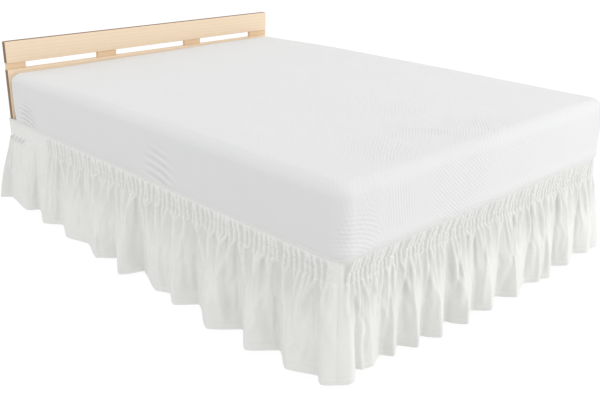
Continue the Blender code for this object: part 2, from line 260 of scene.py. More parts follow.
# A wander adds up waves that follow each other these times faster than its pitch. Divided by
# its height, the sum stays about within -1 and 1.
WANDER_RATIOS = (0.61, 1.0, 1.47, 2.3)
WANDER_HEIGHT = 1.4


def smooth_step(low: float, high: float, values: float | Array) -> Array:
    """Rise smoothly from 0 at low to 1 at high."""
    share = np.clip((values - low) / (high - low), 0.0, 1.0)
    return share * share * (3.0 - 2.0 * share)


def between(low: float, high: float, soft: float, values: float | Array) -> Array:
    """Give 1 from low to high, and fall smoothly to 0 within soft of them."""
    return smooth_step(low - soft, low, values) * (1.0 - smooth_step(high, high + soft, values))


def bell(values: float | Array, middle: float | Array, reach: float | Array) -> Array:
    """Give 1 at middle, and fall to 0 on both sides of it as a bell curve does."""
    return np.exp(-((values - middle) / reach) ** 2)


def ridge(away: Array, width: float | Array, sharpness: float) -> Array:
    """Give 1 on a line, and fall to 0 on both sides of it as a gather does."""
    return (1.0 + (away / width) ** 2) ** -sharpness


def wander(places: Array, pitch: float, seed: int) -> Array:
    """Give a smooth random wave, about from -1 to 1.

    Args:
        places: Where the wave is read, in metres.
        pitch: The usual distance from one top of the wave to the next.
        seed: Seed of the wave.

    Returns:
        The wave at each place.
    """
    draw = np.random.default_rng(seed)
    total = np.zeros(np.shape(places))
    for ratio in WANDER_RATIOS:
        total = total + np.sin(2.0 * math.pi * ratio * places / pitch
                               + draw.uniform(0.0, 2.0 * math.pi)) / (1.0 + ratio)
    return total / WANDER_HEIGHT


def soften(values: Array, reach: float) -> Array:
    """Blur a row of values with a bell curve.

    Args:
        values: The values, one a column.
        reach: How many columns wide the curve is.

    Returns:
        The blurred row.
    """
    half = math.ceil(4.0 * reach)
    curve = np.exp(-0.5 * (np.arange(-half, half + 1) / reach) ** 2)
    return np.convolve(np.pad(values, half, mode="edge"), curve / curve.sum(), mode="valid")


# ---------------------------------------------------------------- gathers

class Gather(NamedTuple):
    """One gather: a narrow ridge that runs from the top edge down through both stitch rows.

    row is its station at the upper row. lean is how far it leans along the edge for each metre
    that it rises above that row, and cross for each metre that it falls below it. start is its
    station at the lower row. It joins a trunk, which starts at trunk, at the share join of the
    drop. The trunk meets the line from crest_top to crest_hem at the share reach, and fades out
    there. height is from 0 to 1, and width is in metres.
    """

    row: float
    lean: float
    cross: float
    start: float
    trunk: float
    join: float
    end: float
    crest_top: float
    crest_hem: float
    reach: float
    height: float
    width: float


@dataclass
class Gathers:
    """All gathers of one panel, side by side, as uneven as drawn threads make them.

    Attributes:
        start: Station where the panel's top edge starts.
        end: Station where it ends.
        knots: The panel's valley and crest lines, by rising station.
        slant: How far a gather leans above the upper row, for each metre that it rises.
        calm: Stretches where the cloth is hardly gathered.
        seed: Seed of the places, lengths and heights.
        pitch: Usual distance from one gather to the next.
        depth: How far a gather stands out.
        shade: How much painted shade darkens the cloth between two gathers, from 0 to 1.
        frills: Stretches where small frills stand at the lower row.
        near_reach: Usual share of the drop that a gather on a crest line runs down.
        far_reach: What is added to that share, at the most, away from the crest line.
        steps: The range of the distances between gathers, in pitches. The ranges after it are
            those of a bunch's reach and shift, and of a gather's join, cross, lean, height and
            width.
        join_run: How many times its join a gather runs down that isn't a bunch's longest.
        valley_run: The reliefs that the painted shade between gathers is full below and ends at.
        fade_run: The shares of its length that a gather fades between.
    """

    start: float
    end: float
    knots: list[Knot]
    slant: float
    calm: tuple[Span, ...]
    seed: int
    pitch: float
    depth: float
    shade: float
    frills: tuple[Span, ...] = ()
    upper_row: float = 0.350
    lower_row: float = 0.3200
    calm_edge: float = 0.010
    calm_share: float = 0.85
    frill_pitch: float = 0.034
    frill_height: float = 0.315
    frill_reach: float = 0.013
    frill_lean: float = 1.1
    frill_edge: float = 0.006
    near_reach: float = 0.30
    far_reach: float = 0.65
    most_reach: float = 0.97
    bunch_sizes: tuple[int, ...] = (1, 2, 2, 3)
    steps: tuple[float, float] = (0.75, 1.25)
    reaches: tuple[float, float] = (0.7, 1.35)
    shifts: tuple[float, float] = (0.25, 0.85)
    joins: tuple[float, float] = (0.05, 0.30)
    crosses: tuple[float, float] = (-0.22, 0.22)
    leans: tuple[float, float] = (-0.25, 0.25)
    heights: tuple[float, float] = (0.65, 1.0)
    widths: tuple[float, float] = (0.30, 0.42)
    sway: float = 0.0016
    sway_pitch: float = 0.024
    sharp_above: float = 1.8
    sharp_below: float = 1.7
    see_above: float = 0.07
    see_below: float = 0.10
    join_run: float = 1.2
    valley_run: tuple[float, float] = (0.08, 0.60)
    fade_run: tuple[float, float] = (0.45, 1.1)
    lines: list[Gather] = field(init=False)

    def __post_init__(self) -> None:
        """Draw the gathers in bunches of one to three."""
        draw = np.random.default_rng(self.seed)
        self.lines = []
        place = self.start + 0.5 * self.pitch
        while place < self.end:
            starts = []
            for _ in range(int(draw.choice(self.bunch_sizes))):
                starts.append(place)
                place += self.pitch * draw.uniform(*self.steps)
            self.lines += self.bunch([start for start in starts if start < self.end], draw)

    def bunch(self, starts: list[float], draw: np.random.Generator) -> list[Gather]:
        """Make the gathers that run together into one trunk.

        Args:
            starts: Their stations at the lower row, one or more.
            draw: The source of their unevenness.

        Returns:
            The bunch's gathers.
        """
        trunk = sum(starts) / len(starts)
        knot, spread = self.crest_near(trunk)
        away = min(abs(trunk - knot.top) / spread, 1.0)
        reach = min((self.near_reach + self.far_reach * away) * draw.uniform(*self.reaches),
                    self.most_reach)
        shift = (trunk - knot.top) * draw.uniform(*self.shifts)
        keeper = int(draw.integers(len(starts)))
        found = []
        for number, start in enumerate(starts):
            join = draw.uniform(*self.joins)
            cross = draw.uniform(*self.crosses)
            row = start + cross * (self.upper_row - self.lower_row)
            lean = self.slant + draw.uniform(*self.leans)
            end = reach if number == keeper else self.join_run * join
            found.append(Gather(
                row, lean, cross, start, trunk, join, end, knot.top + shift, knot.hem + shift,
                reach,
                draw.uniform(*self.heights) * (1.0 - self.calm_share * float(self.calm_at(start))),
                self.pitch * draw.uniform(*self.widths)))
        return found

    def crest_near(self, station: float) -> tuple[Knot, float]:
        """Find the crest that a gather runs into.

        Args:
            station: The gather's station.

        Returns:
            The crest's line, and how far apart its two valleys start.
        """
        found = []
        for index, knot in enumerate(self.knots):
            near = [self.knots[other] for other in (index - 1, index + 1)
                    if 0 <= other < len(self.knots)]
            if all(other.out <= knot.out for other in near):
                tops = [other.top for other in near] + [knot.top]
                outside = max(min(tops) - station, station - max(tops), 0.0)
                found.append((outside, knot, max(tops) - min(tops)))
        _, knot, spread = min(found, key=lambda item: item[0])
        return knot, spread

    @staticmethod
    def within(spans: tuple[Span, ...], edge: float, stations: float | Array) -> float | Array:
        """Give 1 at stations inside one of some stretches, and 0 past the edge round them."""
        return sum((between(span.middle - span.half, span.middle + span.half, edge, stations)
                    for span in spans), np.zeros(np.shape(stations)))

    def calm_at(self, stations: float | Array) -> float | Array:
        """Give how calm the cloth is at each station, from 0 to 1."""
        return self.within(self.calm, self.calm_edge, stations)

    def frill(self, stations: Array, heights: Array) -> tuple[Array, Array]:
        """Give the frills' relief.

        Args:
            stations: Station of each point.
            heights: Height of each point above the floor.

        Returns:
            The relief and how deep each point lies between two frills, both from 0 to 1.
        """
        wave = 0.5 + 0.5 * np.sin(2.0 * math.pi * (np.abs(stations) + self.frill_lean * heights)
                                  / self.frill_pitch)
        window = (self.within(self.frills, self.frill_edge, stations)
                  * bell(heights, self.frill_height, self.frill_reach))
        return window * wave, window * (1.0 - wave)

    def painted_shade(self, ridges: Array, stations: Array, heights: Array) -> Array:
        """Give the painted shade at each point between two gathers, from 0 to 1.

        Args:
            ridges: The gathers' relief at each point.
            stations: Station of each point.
            heights: Height of each point above the floor.

        Returns:
            The painted shade at each point.
        """
        valley = 1.0 - smooth_step(*self.valley_run, ridges)
        return np.maximum(self.shade * valley * (1.0 - self.calm_at(stations)),
                          self.frill(stations, heights)[1])

    def above(self, stations: Array, heights: Array) -> Array:
        """Give the relief of the heading's cloth, from 0 to about 1.

        Args:
            stations: Station of each point, the same in every row.
            heights: Height of each point above the floor.

        Returns:
            The relief at each point.
        """
        total = np.zeros(stations.shape)
        sway = self.sway * wander(heights, self.sway_pitch, self.seed + 1)
        rise = heights - self.upper_row
        for line in self.lines:
            near = np.abs(stations[0] - line.row) < self.see_above
            up = rise[:, near]
            middle = line.row + np.where(up > 0.0, line.lean * up, line.cross * up)
            middle = middle + sway[:, near] * (1.0 if line.cross > 0.0 else -1.0)
            shape = ridge(stations[:, near] - middle, 0.9 * line.width, self.sharp_above)
            total[:, near] = np.maximum(total[:, near], line.height * shape)
        return total

    def below(self, stations: Array, shares: Array) -> Array:
        """Give the relief of the drop's cloth, from 0 to about 1.

        Args:
            stations: Station of each point.
            shares: Share of the drop of each point.

        Returns:
            The relief at each point.
        """
        total = np.zeros(stations.shape)
        for line in self.lines:
            near = np.abs(stations - line.start).min(axis=0) < self.see_below
            share = shares[:, near]
            crest = line.crest_top + (line.crest_hem - line.crest_top) * share
            middle = line.trunk + (crest - line.trunk) * smooth_step(0.0, line.reach, share)
            middle = middle + (line.start - line.trunk) * (
                1.0 - smooth_step(0.0, line.join, share))
            fade = 1.0 - smooth_step(*(line.end * part for part in self.fade_run), share)
            shape = ridge(stations[:, near] - middle, line.width * (0.9 + 0.9 * share),
                          self.sharp_below)
            total[:, near] = np.maximum(total[:, near], line.height * fade * shape)
        return total


# ---------------------------------------------------------------- pieces and thin sheets

class Held(Enum):
    """How a sheet of the skirt is held."""

    GATHERED = "gathered"
    STRETCHED = "stretched"


def add_object(name: str, data: bpy.types.ID) -> Piece:
    """Put a mesh, a light or a camera in the scene.

    Args:
        name: Name of the new object.
        data: The mesh, light or camera.

    Returns:
        The new object.
    """
    new = bpy.data.objects.new(name, data)
    bpy.context.scene.collection.objects.link(new)
    return new


def seat(piece: Piece, node: str, slot: str, *finishes: Material) -> None:
    """Give a piece its materials and its body, and hide the node that it replaces.

    Args:
        piece: The piece.
        node: The node that it replaces.
        slot: The record's material slot. It is not used.
        finishes: Its materials.
    """
    for finish in finishes:
        piece.data.materials.append(finish)
    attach(piece, ROOT)
    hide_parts(node)


def declare_sheet(piece: Piece, width: float, height: float) -> None:
    """Log a sheet's cut size.

    Args:
        piece: The sheet.
        width: The cut cloth's length along the bed.
        height: Its height, with its hem.
    """
    LOG.info("%s: cut %.3f x %.3f m", piece.name, width, height)


def grid_normals(grid: Array) -> Array:
    """Give the outward direction at each point of a sheet's grid."""
    facing = np.cross(np.gradient(grid, axis=0), np.gradient(grid, axis=1))
    return facing / np.maximum(np.linalg.norm(facing, axis=-1, keepdims=True), 1e-12)


@dataclass
class ClosedSheet:
    """A thin closed sheet round a grid of middle points.

    Attributes:
        name: Name of the piece.
        grid: Middle points, rows from the top down and columns by rising station.
        thickness: The sheet's thickness in each row.
        painted_shade: How much painted shade each middle point gets between two gathers, from 0 to
            1.
    """

    name: str
    grid: Array
    thickness: Array
    painted_shade: Array | None = None

    SHARP_ANGLE = math.radians(60.0)

    def width(self, row: int = -1) -> float:
        """Length of one row, along its folds."""
        return float(np.linalg.norm(np.diff(self.grid[row], axis=0), axis=-1).sum())

    def cloth_places(self) -> Array:
        """Give each middle point's place on the flat cloth.

        Returns:
            The distances along the cloth and up from its lower edge, as a last axis.
        """
        across = np.linalg.norm(np.diff(self.grid, axis=1), axis=-1).mean(axis=0)
        along = np.linalg.norm(np.diff(self.grid, axis=0), axis=-1).mean(axis=1)
        across = np.concatenate([[0.0], np.cumsum(across)])
        along = np.concatenate([[0.0], np.cumsum(along)])
        return np.stack(np.broadcast_arrays(across[None, :], along[-1] - along[:, None]), axis=-1)

    def build(self) -> Piece:
        """Make the piece, with its places on the flat cloth as the UV map cloth.

        Returns:
            The new piece.
        """
        rows, columns = self.grid.shape[:2]
        offset = 0.5 * self.thickness[:, None, None] * grid_normals(self.grid)
        near_points, far_points = self.grid + offset, self.grid - offset
        points = np.concatenate([near_points.reshape(-1, 3), far_points.reshape(-1, 3)])
        near, far = np.arange(2 * rows * columns).reshape(2, rows, columns)
        quads = (
            (near[:-1, :-1], near[1:, :-1], near[1:, 1:], near[:-1, 1:]),
            (far[:-1, :-1], far[:-1, 1:], far[1:, 1:], far[1:, :-1]),
            (near[0, :-1], near[0, 1:], far[0, 1:], far[0, :-1]),
            (near[-1, :-1], far[-1, :-1], far[-1, 1:], near[-1, 1:]),
            (near[:-1, 0], far[:-1, 0], far[1:, 0], near[1:, 0]),
            (near[:-1, -1], near[1:, -1], far[1:, -1], far[:-1, -1]),
        )
        faces = np.concatenate([np.stack(quad, axis=-1).reshape(-1, 4) for quad in quads])
        mesh = bpy.data.meshes.new(self.name)
        mesh.from_pydata(points.tolist(), [], faces.tolist())
        places = np.concatenate([self.cloth_places().reshape(-1, 2)] * 2)
        owners = np.empty(len(mesh.loops), dtype=np.int32)
        mesh.loops.foreach_get("vertex_index", owners)
        cloth_map = mesh.uv_layers.new(name="cloth")
        cloth_map.uv.foreach_set("vector", places[owners].astype(np.float32).ravel())
        # Painted shade between gathers, kept as a mesh attribute for the cloth's material.
        if self.painted_shade is not None:
            depth = mesh.attributes.new("painted_shade", "FLOAT", "POINT")
            depth.data.foreach_set("value", np.tile(self.painted_shade.ravel(), 2).astype(np.float32))
        mesh.shade_smooth()
        mesh.set_sharp_from_angle(angle=self.SHARP_ANGLE)
        return add_object(self.name, mesh)


# ---------------------------------------------------------------- finishes

class Axis(Enum):
    """The axis that a wood's grain runs along, or that bands follow each other along."""

    X = "X"
    Y = "Y"
    Z = "Z"


class NodeSheet:
    """A short hand for a material's nodes.

    Attributes:
        material: The material.
        shader: Its Principled shader.
    """

    def __init__(self, name: str, color: Color, roughness: float) -> None:
        """Start a material with one Principled shader.

        Args:
            name: Name of the material.
            color: Its linear base colour.
            roughness: Its roughness.
        """
        self.material = bpy.data.materials.new(name)
        self.material.use_nodes = True
        self.tree = self.material.node_tree
        self.shader = self.tree.nodes["Principled BSDF"]
        self.shader.inputs["Base Color"].default_value = (*color, 1.0)
        self.shader.inputs["Roughness"].default_value = roughness
        self.shader.inputs["Specular IOR Level"].default_value = 0.25

    def node(self, kind: str, values: dict | None = None, **settings: object) -> bpy.types.Node:
        """Add a node.

        Args:
            kind: The node's type name.
            values: Constants or links for its inputs, by name or number.
            settings: Values for its own properties.

        Returns:
            The new node.
        """
        new = self.tree.nodes.new(kind)
        for key, value in settings.items():
            setattr(new, key, value)
        for key, value in (values or {}).items():
            if isinstance(value, Socket):
                self.tree.links.new(value, new.inputs[key])
            else:
                new.inputs[key].default_value = value
        return new

    def link(self, source: Socket, target: str) -> None:
        """Link a socket to one of the shader's inputs."""
        self.tree.links.new(source, self.shader.inputs[target])

    def math(self, operation: str, *values: object) -> Socket:
        """Add a Math node and give its result."""
        return self.node("ShaderNodeMath", dict(enumerate(values)), operation=operation).outputs[0]

    def weigh(self, *parts: tuple[Socket, float], base: float = 0.0) -> Socket:
        """Add up a base and some values, each times its weight.

        Args:
            parts: Each value and its weight.
            base: What they are added to.

        Returns:
            The sum.
        """
        total = base
        for value, weight in parts:
            total = self.math("MULTIPLY_ADD", value, weight, total)
        return total

    def ramp(self, value: Socket, start: float, end: float, top: float = 1.0,
             curve: str = "LINEAR") -> Socket:
        """Add a Map Range node that rises from 0 to top.

        Args:
            value: The value that is read.
            start: Where it gives 0.
            end: Where it gives top.
            top: The most that it gives.
            curve: The node's kind of interpolation.

        Returns:
            The node's result.
        """
        return self.node("ShaderNodeMapRange", {
            "Value": value, "From Min": start, "From Max": end, "To Max": top},
            interpolation_type=curve).outputs[0]

    def reach(self, operation: str, place: Socket, other: Triple) -> Socket:
        """Add a Vector Math node that gives one number, such as a distance from a point."""
        return self.node("ShaderNodeVectorMath", {0: place, 1: other},
                         operation=operation).outputs["Value"]

    def place(self, uv_map: str | None = None, scale: Triple = (1.0, 1.0, 1.0),
              turn: Triple = (0.0, 0.0, 0.0)) -> Socket:
        """Give a place to read a pattern at.

        Args:
            uv_map: The UV map that it is on, or None for Object coordinates.
            scale: How the place is scaled.
            turn: How it is turned.

        Returns:
            The place.
        """
        if uv_map is None:
            source = self.node("ShaderNodeTexCoord").outputs["Object"]
        else:
            source = self.node("ShaderNodeUVMap", uv_map=uv_map).outputs["UV"]
        return self.node("ShaderNodeMapping",
                         {"Vector": source, "Scale": scale, "Rotation": turn}).outputs[0]

    def noise(self, place: Socket, scale: float, detail: float = 2.0,
              distortion: float = 0.0) -> Socket:
        """Add a Noise Texture and give its value."""
        return self.node("ShaderNodeTexNoise", {"Vector": place, "Scale": scale, "Detail": detail,
                                                "Distortion": distortion}).outputs[0]

    def bands(self, place: Socket, pitch: float, axis: Axis, distortion: float = 0.0,
              detail_scale: float = 1.0) -> Socket:
        """Add sine bands, one a pitch, and give their value.

        Args:
            place: Where the bands are read.
            pitch: Distance from one band to the next.
            axis: The axis that they follow each other along.
            distortion: How much noise bends them.
            detail_scale: The scale of that noise.

        Returns:
            The bands' value, from 0 to 1.
        """
        return self.node("ShaderNodeTexWave", {
            "Vector": place, "Scale": math.pi / (10.0 * pitch), "Distortion": distortion,
            "Detail": 2.0, "Detail Scale": detail_scale}, wave_type="BANDS",
            bands_direction=axis.value, wave_profile="SIN").outputs["Fac"]

    def mix(self, share: object, first: object, second: object, clamped: bool = True) -> Socket:
        """Mix two colours by a share, which may pass 0 and 1 where it isn't clamped."""
        return self.node("ShaderNodeMix", {0: share, 6: first, 7: second}, data_type="RGBA",
                         clamp_factor=clamped).outputs[2]

    def bump(self, height: Socket, distance: float, strength: float = 1.0,
             under: Socket | None = None) -> Socket:
        """Add a Bump node.

        Args:
            height: The relief, from 0 to 1.
            distance: The relief's depth in metres.
            strength: How much of it shows.
            under: The normal of a coarser bump below it.

        Returns:
            The new normal.
        """
        values = {"Height": height, "Distance": distance, "Strength": strength}
        if under is not None:
            values["Normal"] = under
        return self.node("ShaderNodeBump", values).outputs[0]


def tint(color: Color, factor: float) -> tuple[float, float, float, float]:
    """Give a colour made lighter or darker by a factor, with an alpha of 1."""
    return (*(channel * factor for channel in color), 1.0)


@dataclass(frozen=True)
class Finish:
    """A finish of a surface, whose material is made from its name, colour and roughness."""

    name: str
    color: Color
    roughness: float

    def material(self) -> Material:
        """Make the finish's material.

        Returns:
            The material.
        """
        sheet = NodeSheet(self.name, self.color, self.roughness)
        self.paint(sheet)
        return sheet.material

    def paint(self, sheet: NodeSheet) -> None:
        """Add the surface's own colours and relief to its material."""
        raise NotImplementedError


@dataclass(frozen=True)
class PlainWeave(Finish):
    """White plain-weave cloth: fine threads, faint slubs, a soft sheen and rows of stitches.

    Attributes:
        painted_shade_tint: The cloth's colour under full painted shade between two gathers.
        seam_shade: Its shade in the stitches.
        stitch_rows: Heights of the rows above the cloth's lower edge.
    """

    roughness: float = 0.85
    thread_pitch: float = 0.0009
    thread_depth: float = 0.00012
    slub_scale: Triple = (260.0, 9.0, 1.0)
    stain_scale: float = 7.0
    crumple_depth: float = 0.00025
    crumple_scale: float = 38.0
    sheen: float = 0.25
    painted_shade_tint: float = 0.74
    seam_shade: float = 0.93
    seam_depth: float = 0.0002
    stitch_rows: tuple[float, ...] = ()
    stitch_pitch: float = 0.0032
    stitch_width: float = 0.0013

    def paint(self, sheet: NodeSheet) -> None:
        """Paint the cloth, by the UV map cloth.

        Args:
            sheet: The material's nodes.
        """
        sheet.shader.inputs["Sheen Weight"].default_value = self.sheen
        sheet.shader.inputs["Sheen Roughness"].default_value = 0.5
        cloth = sheet.place("cloth")
        slubs = sheet.noise(sheet.place("cloth", scale=self.slub_scale), 1.0, 3.0)
        stain = sheet.noise(cloth, self.stain_scale, 3.0)
        weave = sheet.mix(sheet.weigh((slubs, 0.35), (stain, 0.65)), tint(self.color, 0.97),
                          tint(self.color, 1.03))
        # Painted shade: the colour darkens between gathers, by the mesh attribute that the skirt's
        # sheets carry.
        painted_shade = sheet.node("ShaderNodeAttribute", attribute_name="painted_shade").outputs["Fac"]
        weave = sheet.mix(painted_shade, weave, tint(self.color, self.painted_shade_tint))
        seams = self.seams(sheet, cloth)
        sheet.link(sheet.mix(seams, weave, tint(self.color, self.seam_shade)), "Base Color")
        crumple = sheet.noise(sheet.place("cloth", scale=(1.0, 0.45, 1.0)),
                              self.crumple_scale, 3.0, 0.4)
        coarse = sheet.bump(crumple, self.crumple_depth)
        coarse = sheet.bump(sheet.math("SUBTRACT", 1.0, seams), self.seam_depth, 1.0, coarse)
        threads = sheet.math("ADD", sheet.bands(cloth, self.thread_pitch, Axis.X, 0.6, 2.0),
                             sheet.bands(cloth, self.thread_pitch, Axis.Y, 0.6, 2.0))
        sheet.link(sheet.bump(threads, self.thread_depth, 0.6, coarse), "Normal")
        sheet.link(sheet.weigh((slubs, 0.08), base=self.roughness - 0.04), "Roughness")

    def seams(self, sheet: NodeSheet, cloth: Socket) -> Socket:
        """Give 1 in the stitches of each row and 0 between them.

        Args:
            sheet: The material's nodes.
            cloth: The place on the flat cloth.

        Returns:
            The stitches' mask.
        """
        up = sheet.node("ShaderNodeSeparateXYZ", {"Vector": cloth}).outputs["Y"]
        total = 0.0
        for row in self.stitch_rows:
            away = sheet.math("ABSOLUTE", sheet.math("SUBTRACT", up, row))
            near = sheet.ramp(away, self.stitch_width, 0.4 * self.stitch_width)
            total = sheet.math("MAXIMUM", near, total)
        beat = sheet.bands(cloth, self.stitch_pitch, Axis.X)
        return sheet.math("MULTIPLY", total, sheet.weigh((beat, 0.6), base=0.4))


@dataclass(frozen=True)
class TwillTape(Finish):
    """Smooth white binding tape with a fine diagonal rib."""

    name: str = "binding_tape"
    color: Color = (0.75, 0.75, 0.74)
    roughness: float = 0.7
    rib_pitch: float = 0.0012
    rib_turn: float = math.radians(35.0)
    rib_depth: float = 0.0002
    wear_scale: float = 30.0
    wear_depth: float = 0.0008

    def paint(self, sheet: NodeSheet) -> None:
        """Paint the tape, by the UV map cloth.

        Args:
            sheet: The material's nodes.
        """
        sheet.shader.inputs["Sheen Weight"].default_value = 0.2
        rib = sheet.bands(sheet.place("cloth", turn=(0.0, 0.0, self.rib_turn)),
                          self.rib_pitch, Axis.X, 0.3)
        wear = sheet.noise(sheet.place("cloth"), self.wear_scale, 3.0)
        sheet.link(sheet.mix(wear, tint(self.color, 0.96), tint(self.color, 1.03)), "Base Color")
        sheet.link(sheet.bump(rib, self.rib_depth, 0.7, sheet.bump(wear, self.wear_depth)),
                   "Normal")


class Ripples(NamedTuple):
    """A patch of ripples in the mattress's cover.

    middle and reach say where it lies. Its ripples are arcs round hub, pitch apart, which look
    straight where the hub is far away. strength is 1 for the usual depth, and for the usual
    painted shade in their troughs and painted light on their crests.
    """

    middle: Triple
    reach: float
    hub: Triple
    pitch: float
    strength: float


RIPPLES = tuple(Ripples(*patch) for patch in (
    ((-0.655, -1.017, 0.560), 0.09, (0.46, -1.02, 1.68), 0.0088, 0.8),
    ((-0.511, -1.017, 0.508), 0.10, (1.07, -1.02, 0.76), 0.0121, 0.9),
    ((-0.217, -1.017, 0.525), 0.23, (0.79, -1.02, 1.77), 0.0108, 1.1),
    ((0.156, -1.017, 0.521), 0.14, (1.17, -1.02, 1.76), 0.0121, 0.6),
    ((-0.685, -1.017, 0.462), 0.11, (-0.79, -1.02, 0.20), 0.0137, 1.2),
    ((-0.409, -0.847, 0.625), 0.18, (-1.33, 0.46, 0.62), 0.0108, 1.0),
    ((-0.190, -0.812, 0.625), 0.16, (-1.19, 0.44, 0.62), 0.0106, 1.0),
    ((-0.041, -0.892, 0.625), 0.20, (-0.97, 0.41, 0.62), 0.0107, 1.0),
    ((0.003, -0.574, 0.625), 0.16, (-1.02, 0.66, 0.62), 0.0122, 0.8),
    ((0.124, -0.899, 0.625), 0.14, (-0.90, 0.33, 0.62), 0.0114, 0.8),
    ((-0.767, -0.138, 0.450), 0.11, (-0.77, -0.085, 0.15), 0.0310, 3.4),
    ((-0.767, 0.850, 0.430), 0.10, (-0.77, 0.91, 0.15), 0.0205, 4.2),
))


@dataclass(frozen=True)
class RippledKnit(Finish):
    """White stretch knit of a mattress cover, with patches of fine ripples.

    Attributes:
        bend: How far noise moves the ripples, in metres.
        faint_pitch: Pitch of the faint ripples that come and go all over the cover.
        faint_share: Their depth, as a share of the usual.
        lean: The direction in which they follow each other.
    """

    name: str = "mattress_cover"
    color: Color = (0.712, 0.715, 0.714)
    roughness: float = 0.9
    ripple_depth: float = 0.0008
    bend: float = 0.05
    faint_pitch: float = 0.013
    faint_share: float = 0.30
    lean: Triple = (0.62, -0.70, 0.36)
    loop_pitch: float = 0.0016
    loop_depth: float = 0.00018
    cloud_scale: float = 5.0

    def paint(self, sheet: NodeSheet) -> None:
        """Paint the cover, by Object coordinates.

        Args:
            sheet: The material's nodes.
        """
        sheet.shader.inputs["Sheen Weight"].default_value = 0.3
        place = sheet.place()
        bend = sheet.math("MULTIPLY", sheet.noise(place, 3.0, 1.0), self.bend)
        faint = sheet.ramp(sheet.noise(place, 3.2, 1.0), 0.42, 0.62, self.faint_share)
        slanted = sheet.reach("DOT_PRODUCT", place, self.lean)
        ripples = sheet.math("MULTIPLY", self.wave(sheet, slanted, bend, self.faint_pitch), faint)
        for patch in RIPPLES:
            window = sheet.ramp(sheet.reach("DISTANCE", place, patch.middle), patch.reach,
                                0.4 * patch.reach, patch.strength, "SMOOTHSTEP")
            arcs = self.wave(sheet, sheet.reach("DISTANCE", place, patch.hub), bend, patch.pitch)
            ripples = sheet.math("ADD", ripples, sheet.math("MULTIPLY", arcs, window))
        loops = sheet.math("ADD", sheet.bands(place, self.loop_pitch, Axis.X, 1.0),
                           sheet.bands(place, self.loop_pitch, Axis.Y, 1.0))
        sheet.link(sheet.bump(loops, self.loop_depth, 0.6,
                              sheet.bump(ripples, self.ripple_depth)), "Normal")
        # Colour: a random mottle, plus painted shade in the ripples' troughs and painted light on
        # their crests.
        cloud = sheet.noise(place, self.cloud_scale, 2.0)
        shade = sheet.weigh((cloud, 0.4), (ripples, 0.6), base=0.3)
        sheet.link(sheet.mix(shade, tint(self.color, 0.965), tint(self.color, 1.03), False),
                   "Base Color")

    @staticmethod
    def wave(sheet: NodeSheet, along: Socket, bend: Socket, pitch: float) -> Socket:
        """Give round ripples, from -0.5 to 0.5, that follow each other a pitch apart."""
        turns = sheet.math("DIVIDE", sheet.math("ADD", along, bend), pitch / (2.0 * math.pi))
        return sheet.math("MULTIPLY", sheet.math("SINE", turns), 0.5)


@dataclass(frozen=True)
class PineBoards(Finish):
    """Pale pine with long grain along the board, open growth rings and a matt varnish."""

    roughness: float = 0.5
    dark: Color = (0.76, 0.575, 0.390)
    grain: Axis = Axis.X
    ring_pitch: float = 0.017
    ring_depth: float = 0.0003
    pore_depth: float = 0.0002
    stretch: float = 0.035
    pore_fineness: float = 24.0

    def paint(self, sheet: NodeSheet) -> None:
        """Paint the wood, by Object coordinates.

        Args:
            sheet: The material's nodes.
        """
        sheet.shader.inputs["Coat Weight"].default_value = 0.08
        sheet.shader.inputs["Coat Roughness"].default_value = 0.4
        along = tuple(self.stretch if axis is self.grain else 1.0 for axis in Axis)
        place = sheet.place(scale=along)
        streaks = sheet.noise(place, 5.0, 2.0)
        across = Axis.Y if self.grain is Axis.Z else Axis.Z
        rings = sheet.bands(place, self.ring_pitch, across, 6.0, 0.22)
        pores = sheet.noise(sheet.place(scale=tuple(self.pore_fineness * size for size in along)),
                            30.0, 4.0)
        share = sheet.weigh((streaks, 0.71), (pores, 0.30), (rings, 0.16))
        sheet.link(sheet.mix(share, (*self.dark, 1.0), (*self.color, 1.0)), "Base Color")
        sheet.link(sheet.bump(pores, self.pore_depth, 0.5,
                              sheet.bump(rings, self.ring_depth, 0.5)), "Normal")
        sheet.link(sheet.weigh((pores, 0.16), base=self.roughness - 0.08), "Roughness")


@dataclass(frozen=True)
class SawnEnd(Finish):
    """A board's darker sawn end or edge, with close growth rings."""

    roughness: float = 0.75
    dark: Color = (0.17, 0.10, 0.06)
    ring_scale: float = 38.0
    pore_scale: float = 320.0
    relief: float = 0.0003

    def paint(self, sheet: NodeSheet) -> None:
        """Paint the end, by Object coordinates.

        Args:
            sheet: The material's nodes.
        """
        rings = sheet.node("ShaderNodeTexWave", {
            "Vector": sheet.place(scale=(0.05, 1.0, 1.0)), "Scale": self.ring_scale,
            "Distortion": 2.5, "Detail": 2.0, "Detail Scale": 1.5}, wave_type="RINGS",
            rings_direction="X").outputs["Fac"]
        pores = sheet.noise(sheet.place(), self.pore_scale, 3.0)
        share = sheet.weigh((rings, 0.6), (pores, 0.5))
        sheet.link(sheet.mix(share, (*self.dark, 1.0), (*self.color, 1.0)), "Base Color")
        sheet.link(sheet.bump(share, self.relief, 0.7), "Normal")


@dataclass(frozen=True)
class BaseFabric(Finish):
    """Close grey upholstery cloth that covers the base."""

    name: str = "base_fabric"
    color: Color = (0.50, 0.49, 0.47)
    roughness: float = 0.9
    thread_pitch: float = 0.0022
    thread_depth: float = 0.0004
    thread_turn: float = math.radians(45.0)
    fleck_scale: float = 420.0

    def paint(self, sheet: NodeSheet) -> None:
        """Paint the cloth, by Object coordinates.

        Args:
            sheet: The material's nodes.
        """
        sheet.shader.inputs["Sheen Weight"].default_value = 0.2
        turned = sheet.place(turn=(0.0, 0.0, self.thread_turn))
        threads = sheet.math("ADD", sheet.bands(turned, self.thread_pitch, Axis.X, 0.8),
                             sheet.bands(sheet.place(), self.thread_pitch, Axis.Z, 0.8))
        fleck = sheet.noise(sheet.place(), self.fleck_scale, 2.0)
        share = sheet.weigh((threads, 0.3), (fleck, 0.5))
        sheet.link(sheet.mix(share, tint(self.color, 0.8), tint(self.color, 1.15)), "Base Color")
        sheet.link(sheet.bump(threads, self.thread_depth, 0.8), "Normal")


